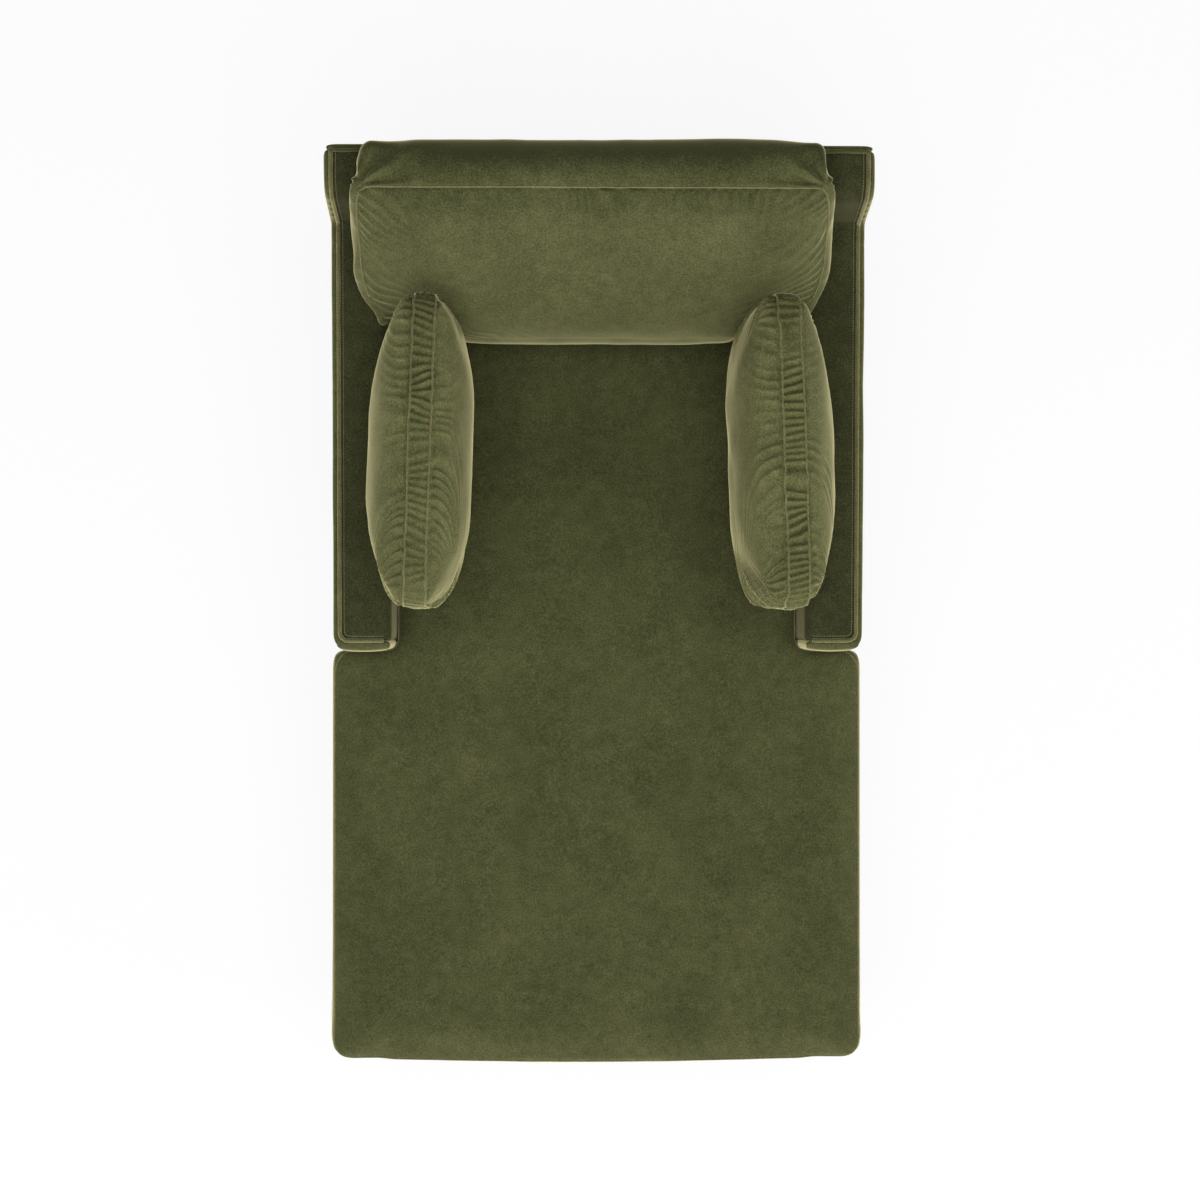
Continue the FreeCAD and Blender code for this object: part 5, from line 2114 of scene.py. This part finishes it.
    def pucker(self, piece: Piece) -> None:
        """Draws the cloth up along the seams, with folds that fade from them.

        Args:
            piece: the blown-up cushion.
        """
        rows, out = places(piece), normals(piece)
        x, y, z = rows.T
        past = y - self.top_seam
        spots, left, right = self.side_seams(rows)
        seam_z = np.median(z[(np.abs(past) < SEAM_STEP) & (out[:, 2] > 0.5)])
        down = np.hypot(np.maximum(-past, 0.0), np.minimum(z - seam_z, 0.0))
        aside = np.minimum(x - np.interp(y, spots, left), np.interp(y, spots, right) - x)
        upper = smooth_step(-0.1, 0.15, out[:, 2])
        face = smooth_step(0.003, -0.003, past) * smooth_step(0.0, 0.004, aside) * upper
        aside = np.maximum(aside, 0.0)
        ends = [np.interp(self.top_seam, spots, line) for line in (left, right)]
        in_from = np.where(x < self.drift, x - ends[0], ends[1] - x)
        boxing = smooth_step(0.0, 0.006, past) * upper * self.corner_fans(rows, in_from, past)
        belly = np.sin(math.pi * np.clip(down / self.face_length, 0.0, 1.0))
        full = self.belly * belly * smooth_step(0.0, 0.10, aside)
        dent = np.exp(-((np.minimum(down, aside) / self.groove_width) ** 2)) * self.groove
        folds = (face * self.face_folds(rows, down, aside) + self.corner_fold * boxing) * self.fold
        soft = sum(waves.at(rows) for waves in self.waves)
        push_out(piece, rows, out, face * (full - dent) + folds + soft)

    def face_folds(self, rows: Array, down: Array, aside: Array) -> Array:
        """Folds that hang from the top seam and run in from the side seams.

        Args:
            rows: points of the cushion.
            down: their distances from the top seam.
            aside: their distances from the nearer side seam.

        Returns:
            Height of the folds at each point, as a share of a side fold.
        """
        u = rows[:, 0] - self.drift
        along = stacked(u, 0.0, 0.0)
        strong = self.front_patches.at(along)
        wander = 1.7 * noise_at(along, 18.0, 61.0) + 0.5 * noise_at(rows, 14.0, 60.0)
        front = strong * self.front_folds.at(u, wander) * smooth_step(0.0, 0.007, down)
        front *= np.exp(-down / self.front_folds.reach(strong))
        strong = self.side_patches.at(stacked(down, np.sign(u), 0.0))
        wander = 1.3 * noise_at(rows, 17.0, 65.0)
        sides = strong * self.side_folds.at(down - self.slant * aside, wander)
        sides *= np.exp(-aside / self.side_folds.reach(strong)) * smooth_step(0.0, 0.006, aside)
        return self.front_fold * front + sides

    def corner_fans(self, rows: Array, in_from: Array, past: Array) -> Array:
        """Folds that fan over the top boxing from the corners of the seam.

        Args:
            rows: points of the cushion.
            in_from: their distances across from the nearer corner.
            past: their distances behind the seam.

        Returns:
            Height of the folds at each point, as a share of a corner fold.
        """
        span = np.hypot(in_from, past)
        phase = np.arctan2(past, in_from) * self.corner_rays + 1.5 * noise_at(rows, 16.0, 66.0)
        fade = np.exp(-span / self.corner_reach) * smooth_step(0.006, 0.03, span)
        return (ridges(phase, 1.6) - 0.4) * fade

    def sew(self, piece: Piece) -> None:
        """Runs the front seam up one side, across the top and down the other side.

        Args:
            piece: finished cushion.
        """
        low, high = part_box("back_cushion_cover")
        on = Seams(piece)
        spots, *seams = self.side_seams(places(piece))
        marks = [*np.arange(low.y + 0.07, self.top_seam - 0.03, 0.02), self.top_seam]
        above = high.z + 0.1
        left, right = (
            [Vector((np.interp(y, spots, seam), y, above)) for y in marks] for seam in seams
        )
        rounds = [0.0] * (len(marks) - 1) + [self.seam_corner]
        corners = [*left, *reversed(right)]
        line = on.below(rounded_path(corners, [*rounds, *reversed(rounds)], SEAM_STEP))
        name, radius = "back_cushion_seam", self.seam_radius
        self.seam(name, "back_cushion", on, line, radius, closed=False, sewn=Stitch())


@dataclass
class Pillow(Upholstery):
    """Boxed pillow that stands on the seat against one arm."""

    shape: ArmShape
    spot: PillowPlace
    puff: Puff = Puff(voxel=0.0052, calm=3, pressure=4.5, steps=12, cap=0.018)
    arm_gap: float = 0.0012
    seat_gap: float = 0.001
    ladder: float = 0.0068
    rungs: Folds = Folds(0.0155, sharp=1.7, level=0.4)
    rung_patches: Patches = Patches(0.6, 0.9, (0.1, 1.3), scale=11.0, seed=1.0)
    fold: float = 0.0080
    folds: Folds = Folds(0.0205, sharp=2.4, level=0.3, short=0.040, long=0.045)
    fold_patches: Patches = Patches(0.50, 0.9, (0.05, 1.2), scale=16.0, seed=2.0)
    groove: float = 0.0020
    groove_width: float = 0.0032
    waves: Waves = Waves(17.0, 0.0018, 4.0)
    seam_radius: float = 0.0015

    @property
    def name(self) -> str:
        """Name of the pillow and of its body."""
        return f"{self.spot.side.word}_pillow"

    @property
    def seed(self) -> float:
        """Shift of the patterns, different for the two pillows."""
        return 70.0 + 5.0 * self.spot.side.value

    def build(self) -> None:
        """Blows up the pillow, puckers its cover and sews the two seams of its boxing."""
        spot, name = self.spot, self.name
        piece = self.stuffed(name, self.puff)
        half = spot.boxing / 2
        low = (-half - spot.outer_crown, -spot.long / 2, -spot.tall / 2)
        high = (half + spot.inner_crown, spot.long / 2, spot.tall / 2)
        local = fit_box(spot.to_local(places(piece)), low, high)
        set_places(piece, self.settle(spot.to_world(local)))
        relax(piece, 2)
        subdivide(piece)
        self.pucker(piece)
        set_places(piece, self.settle(places(piece)))
        solids = [f"{name}_cover", f"{name}_filling"]
        # The pillow takes the paler pillow velvet, painted light.
        self.place(piece, name, solids, 0.75, self.finishes.pillow)
        self.sew(piece)

    def settle(self, rows: Array) -> Array:
        """Keeps the pillow off the arm and the seat."""
        rows = self.shape.clear(rows, self.arm_gap)
        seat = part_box("seat_cushion_cover")[1].z + self.seat_gap
        rows[:, 2] = np.maximum(rows[:, 2], seat)
        return rows

    def pucker(self, piece: Piece) -> None:
        """Puckers the boxing like a ladder and fans folds over both faces from its seams.

        Args:
            piece: the blown-up pillow.
        """
        rows, out = places(piece), normals(piece)
        t, u, v = self.spot.to_local(rows).T
        face = self.spot.face
        deep = np.maximum(face.inside(u, v), 0.0)
        run = face.run(u, v)
        past = np.abs(t) - self.spot.boxing / 2
        ladder = self.boxing_rungs(run, t, v)
        ladder *= smooth_step(0.002, -0.004, past) * smooth_step(0.03, 0.012, deep)
        away = np.hypot(np.maximum(past, 0.0), deep)
        fan = self.face_folds(run, u, v, away, np.sign(t)) * smooth_step(0.0, 0.008, past)
        dent = np.exp(-((past / self.groove_width) ** 2)) * smooth_step(0.035, 0.012, deep)
        loose = self.waves.at(rows, self.seed) * smooth_step(0.0, 0.02, past)
        push_out(piece, rows, out, ladder + fan - dent * self.groove + loose)

    def boxing_rungs(self, run: Array, t: Array, v: Array) -> Array:
        """Puckers across the boxing, lower towards the seat.

        Args:
            run: distances of the points round the pillow.
            t: their places through the pillow.
            v: their places up the pillow.

        Returns:
            Height of the puckers at each point.
        """
        wander = 1.2 * noise_at(stacked(run, t * 0.6, 0.0), 20.0, self.seed)
        strong = self.rung_patches.at(stacked(run, 0.0, 0.0), self.seed)
        upper = 0.55 + 0.45 * smooth_step(-0.05, 0.15, v)
        return strong * self.rungs.at(run, wander) * self.ladder * upper

    def face_folds(self, run: Array, u: Array, v: Array, away: Array, flank: Array) -> Array:
        """Folds over the faces, square to the seams at first and then bent to the foot end.

        Args:
            run: distances of the points round the pillow.
            u: their places along the pillow.
            v: their places up the pillow.
            away: their distances from the seam.
            flank: sign of the face that they are on.

        Returns:
            Height of the folds at each point.
        """
        bend = np.clip((0.06 - u) / 0.2, -0.35, 1.0) * (0.3 * away + 7.0 * away**2)
        along = np.where(v > 0, run - bend, run + bend)
        strong = self.fold_patches.at(stacked(along, flank * 0.3, 0.0), self.seed)
        strong *= 0.6 + 0.5 * smooth_step(0.20, -0.18, u)
        wander = noise_at(stacked(along, away * 0.6, flank * 0.4), 19.0, self.seed + 3)
        fade = np.exp(-((away / self.folds.reach(strong)) ** 2))
        return fade * strong * self.folds.at(along, wander) * self.fold

    def sew(self, piece: Piece) -> None:
        """Runs the two seams of the boxing round the pillow.

        Args:
            piece: finished pillow.
        """
        on = Seams(piece)
        ring = self.spot.face.points(SEAM_STEP)
        for word, sign in (("inner", 1), ("outer", -1)):
            flat = np.array([(sign * self.spot.boxing / 2, p.x, p.y) for p in ring])
            line = [Vector(row) for row in self.spot.to_world(flat)]
            name = f"{self.name}_{word}_seam"
            self.seam(name, self.name, on, line, self.seam_radius, closed=True, sewn=Stitch())


# Studio


@dataclass(frozen=True)
class Lamp:
    """A soft square lamp that points at the chaise."""

    name: str
    place: Place
    size: float
    power: float

    def hang(self, aim: Place) -> None:
        """Adds the lamp to the scene.

        Args:
            aim: place that it points at.
        """
        light = bpy.data.lights.new(self.name, "AREA")
        light.size = self.size
        light.energy = self.power
        holder = add_object(self.name, light)
        holder.location = self.place
        way = Vector(aim) - Vector(self.place)
        holder.rotation_euler = way.to_track_quat("-Z", "Y").to_euler()


@dataclass
class Studio:
    """Pale floor, soft lamps and the camera over the chaise."""

    lens: float = 69.85
    sensor: float = 36.0
    eye: Place = (-0.075, 0.0415, 5.0)
    aim: Place = (0.005, 0.0415, 0.5)
    floor_size: float = 9.0
    floor_white: float = 0.9
    shown_white: float = 0.88
    sky: float = 0.10
    lit: Place = (0.0, 0.0, 0.45)
    lamps: tuple[Lamp, ...] = (
        Lamp("top_lamp", (0.0, -0.8, 5.6), size=4.8, power=265.0),
        Lamp("left_lamp", (-4.5, -0.6, 2.2), size=2.4, power=70.0),
        Lamp("right_lamp", (4.5, -1.0, 2.2), size=2.4, power=84.0),
        Lamp("front_lamp", (0.3, -5.0, 2.0), size=2.4, power=70.0),
    )

    def build(self) -> None:
        """Makes the floor, the light and the camera."""
        self.build_floor()
        self.build_sky()
        for lamp in self.lamps:
            lamp.hang(self.lit)
        self.build_camera()

    def build_floor(self) -> None:
        """Floor that reads as white and still takes a soft shadow."""
        bm = bmesh.new()
        bmesh.ops.create_grid(bm, x_segments=8, y_segments=8, size=self.floor_size)
        floor = from_bmesh("floor", bm)
        material = bpy.data.materials.new("floor_white")
        material.use_nodes = True
        tree = material.node_tree
        surface = tree.nodes["Principled BSDF"]
        surface.inputs["Base Color"].default_value = (self.floor_white,) * 3 + (1.0,)
        surface.inputs["Roughness"].default_value = 0.9
        glow = tree.nodes.new("ShaderNodeEmission")
        share = tree.nodes.new("ShaderNodeMath")
        share.operation = "MULTIPLY"
        share.inputs[1].default_value = self.shown_white
        tree.links.new(self.seen(tree), share.inputs[0])
        shaders = surface.outputs["BSDF"], glow.outputs["Emission"]
        self.blend(tree, share.outputs[0], shaders, "Material Output")
        floor.data.materials.append(material)

    def build_sky(self) -> None:
        """Even light from all round, white where it is seen."""
        world = bpy.data.worlds.new("studio")
        world.use_nodes = True
        tree = world.node_tree
        light = tree.nodes["Background"]
        light.inputs["Strength"].default_value = self.sky
        light.inputs["Color"].default_value = WHITE
        white = tree.nodes.new("ShaderNodeBackground")
        white.inputs["Color"].default_value = WHITE
        shaders = light.outputs["Background"], white.outputs["Background"]
        self.blend(tree, self.seen(tree), shaders, "World Output")
        bpy.context.scene.world = world

    @staticmethod
    def seen(tree: bpy.types.NodeTree) -> Socket:
        """Tells rays that show the background from those that light the chaise.

        Args:
            tree: nodes of the floor or the sky.

        Returns:
            Socket that is 1 for rays from the eye, in mirrors and through glass.
        """
        path = tree.nodes.new("ShaderNodeLightPath")
        shown = path.outputs["Is Camera Ray"]
        for kind in ("Is Glossy Ray", "Is Transmission Ray"):
            larger = tree.nodes.new("ShaderNodeMath")
            larger.operation = "MAXIMUM"
            tree.links.new(shown, larger.inputs[0])
            tree.links.new(path.outputs[kind], larger.inputs[1])
            shown = larger.outputs[0]
        return shown

    @staticmethod
    def blend(
        tree: bpy.types.NodeTree, share: Socket, shaders: tuple[Socket, Socket], output: str
    ) -> None:
        """Mixes two shaders into an output.

        Args:
            tree: nodes of the floor or the sky.
            share: weight of the second shader.
            shaders: the two shaders.
            output: name of the output node.
        """
        mixer = tree.nodes.new("ShaderNodeMixShader")
        tree.links.new(share, mixer.inputs["Fac"])
        tree.links.new(shaders[0], mixer.inputs[1])
        tree.links.new(shaders[1], mixer.inputs[2])
        tree.links.new(mixer.outputs["Shader"], tree.nodes[output].inputs["Surface"])

    def build_camera(self) -> None:
        """Camera high over the chaise, looking down with a slight tilt."""
        data = bpy.data.cameras.new("camera")
        data.lens = self.lens
        data.sensor_width = self.sensor
        camera = add_object("camera", data)
        eye, aim = Vector(self.eye), Vector(self.aim)
        back = (eye - aim).normalized()
        right = Vector((0, 1, 0)).cross(back).normalized()
        turn = Matrix((right, back.cross(right), back)).transposed()
        camera.matrix_world = Matrix.Translation(eye) @ turn.to_4x4()
        scene = bpy.context.scene
        scene.camera = camera
        scene.view_settings.view_transform = "Standard"


def main() -> None:
    """Builds the dressed chaise and its studio."""
    logging.basicConfig(level=logging.INFO, format="%(message)s")
    finishes = Finishes()
    finishes.dress_frame()
    shape = ArmShape()
    Back(finishes, shape).build()
    Base(finishes).build()
    for side in Side:
        Arm(finishes, shape, side).build()
    SeatCushion(finishes, shape).build()
    pillows = [
        PillowPlace(Side.LEFT, offset=0.325, lean=math.radians(-1.5)),
        PillowPlace(Side.RIGHT, offset=0.331, lean=math.radians(3.5)),
    ]
    BackCushion(finishes, shape, pillows).build()
    for spot in pillows:
        Pillow(finishes, shape, spot).build()
    Studio().build()


if __name__ == "__main__":
    main()
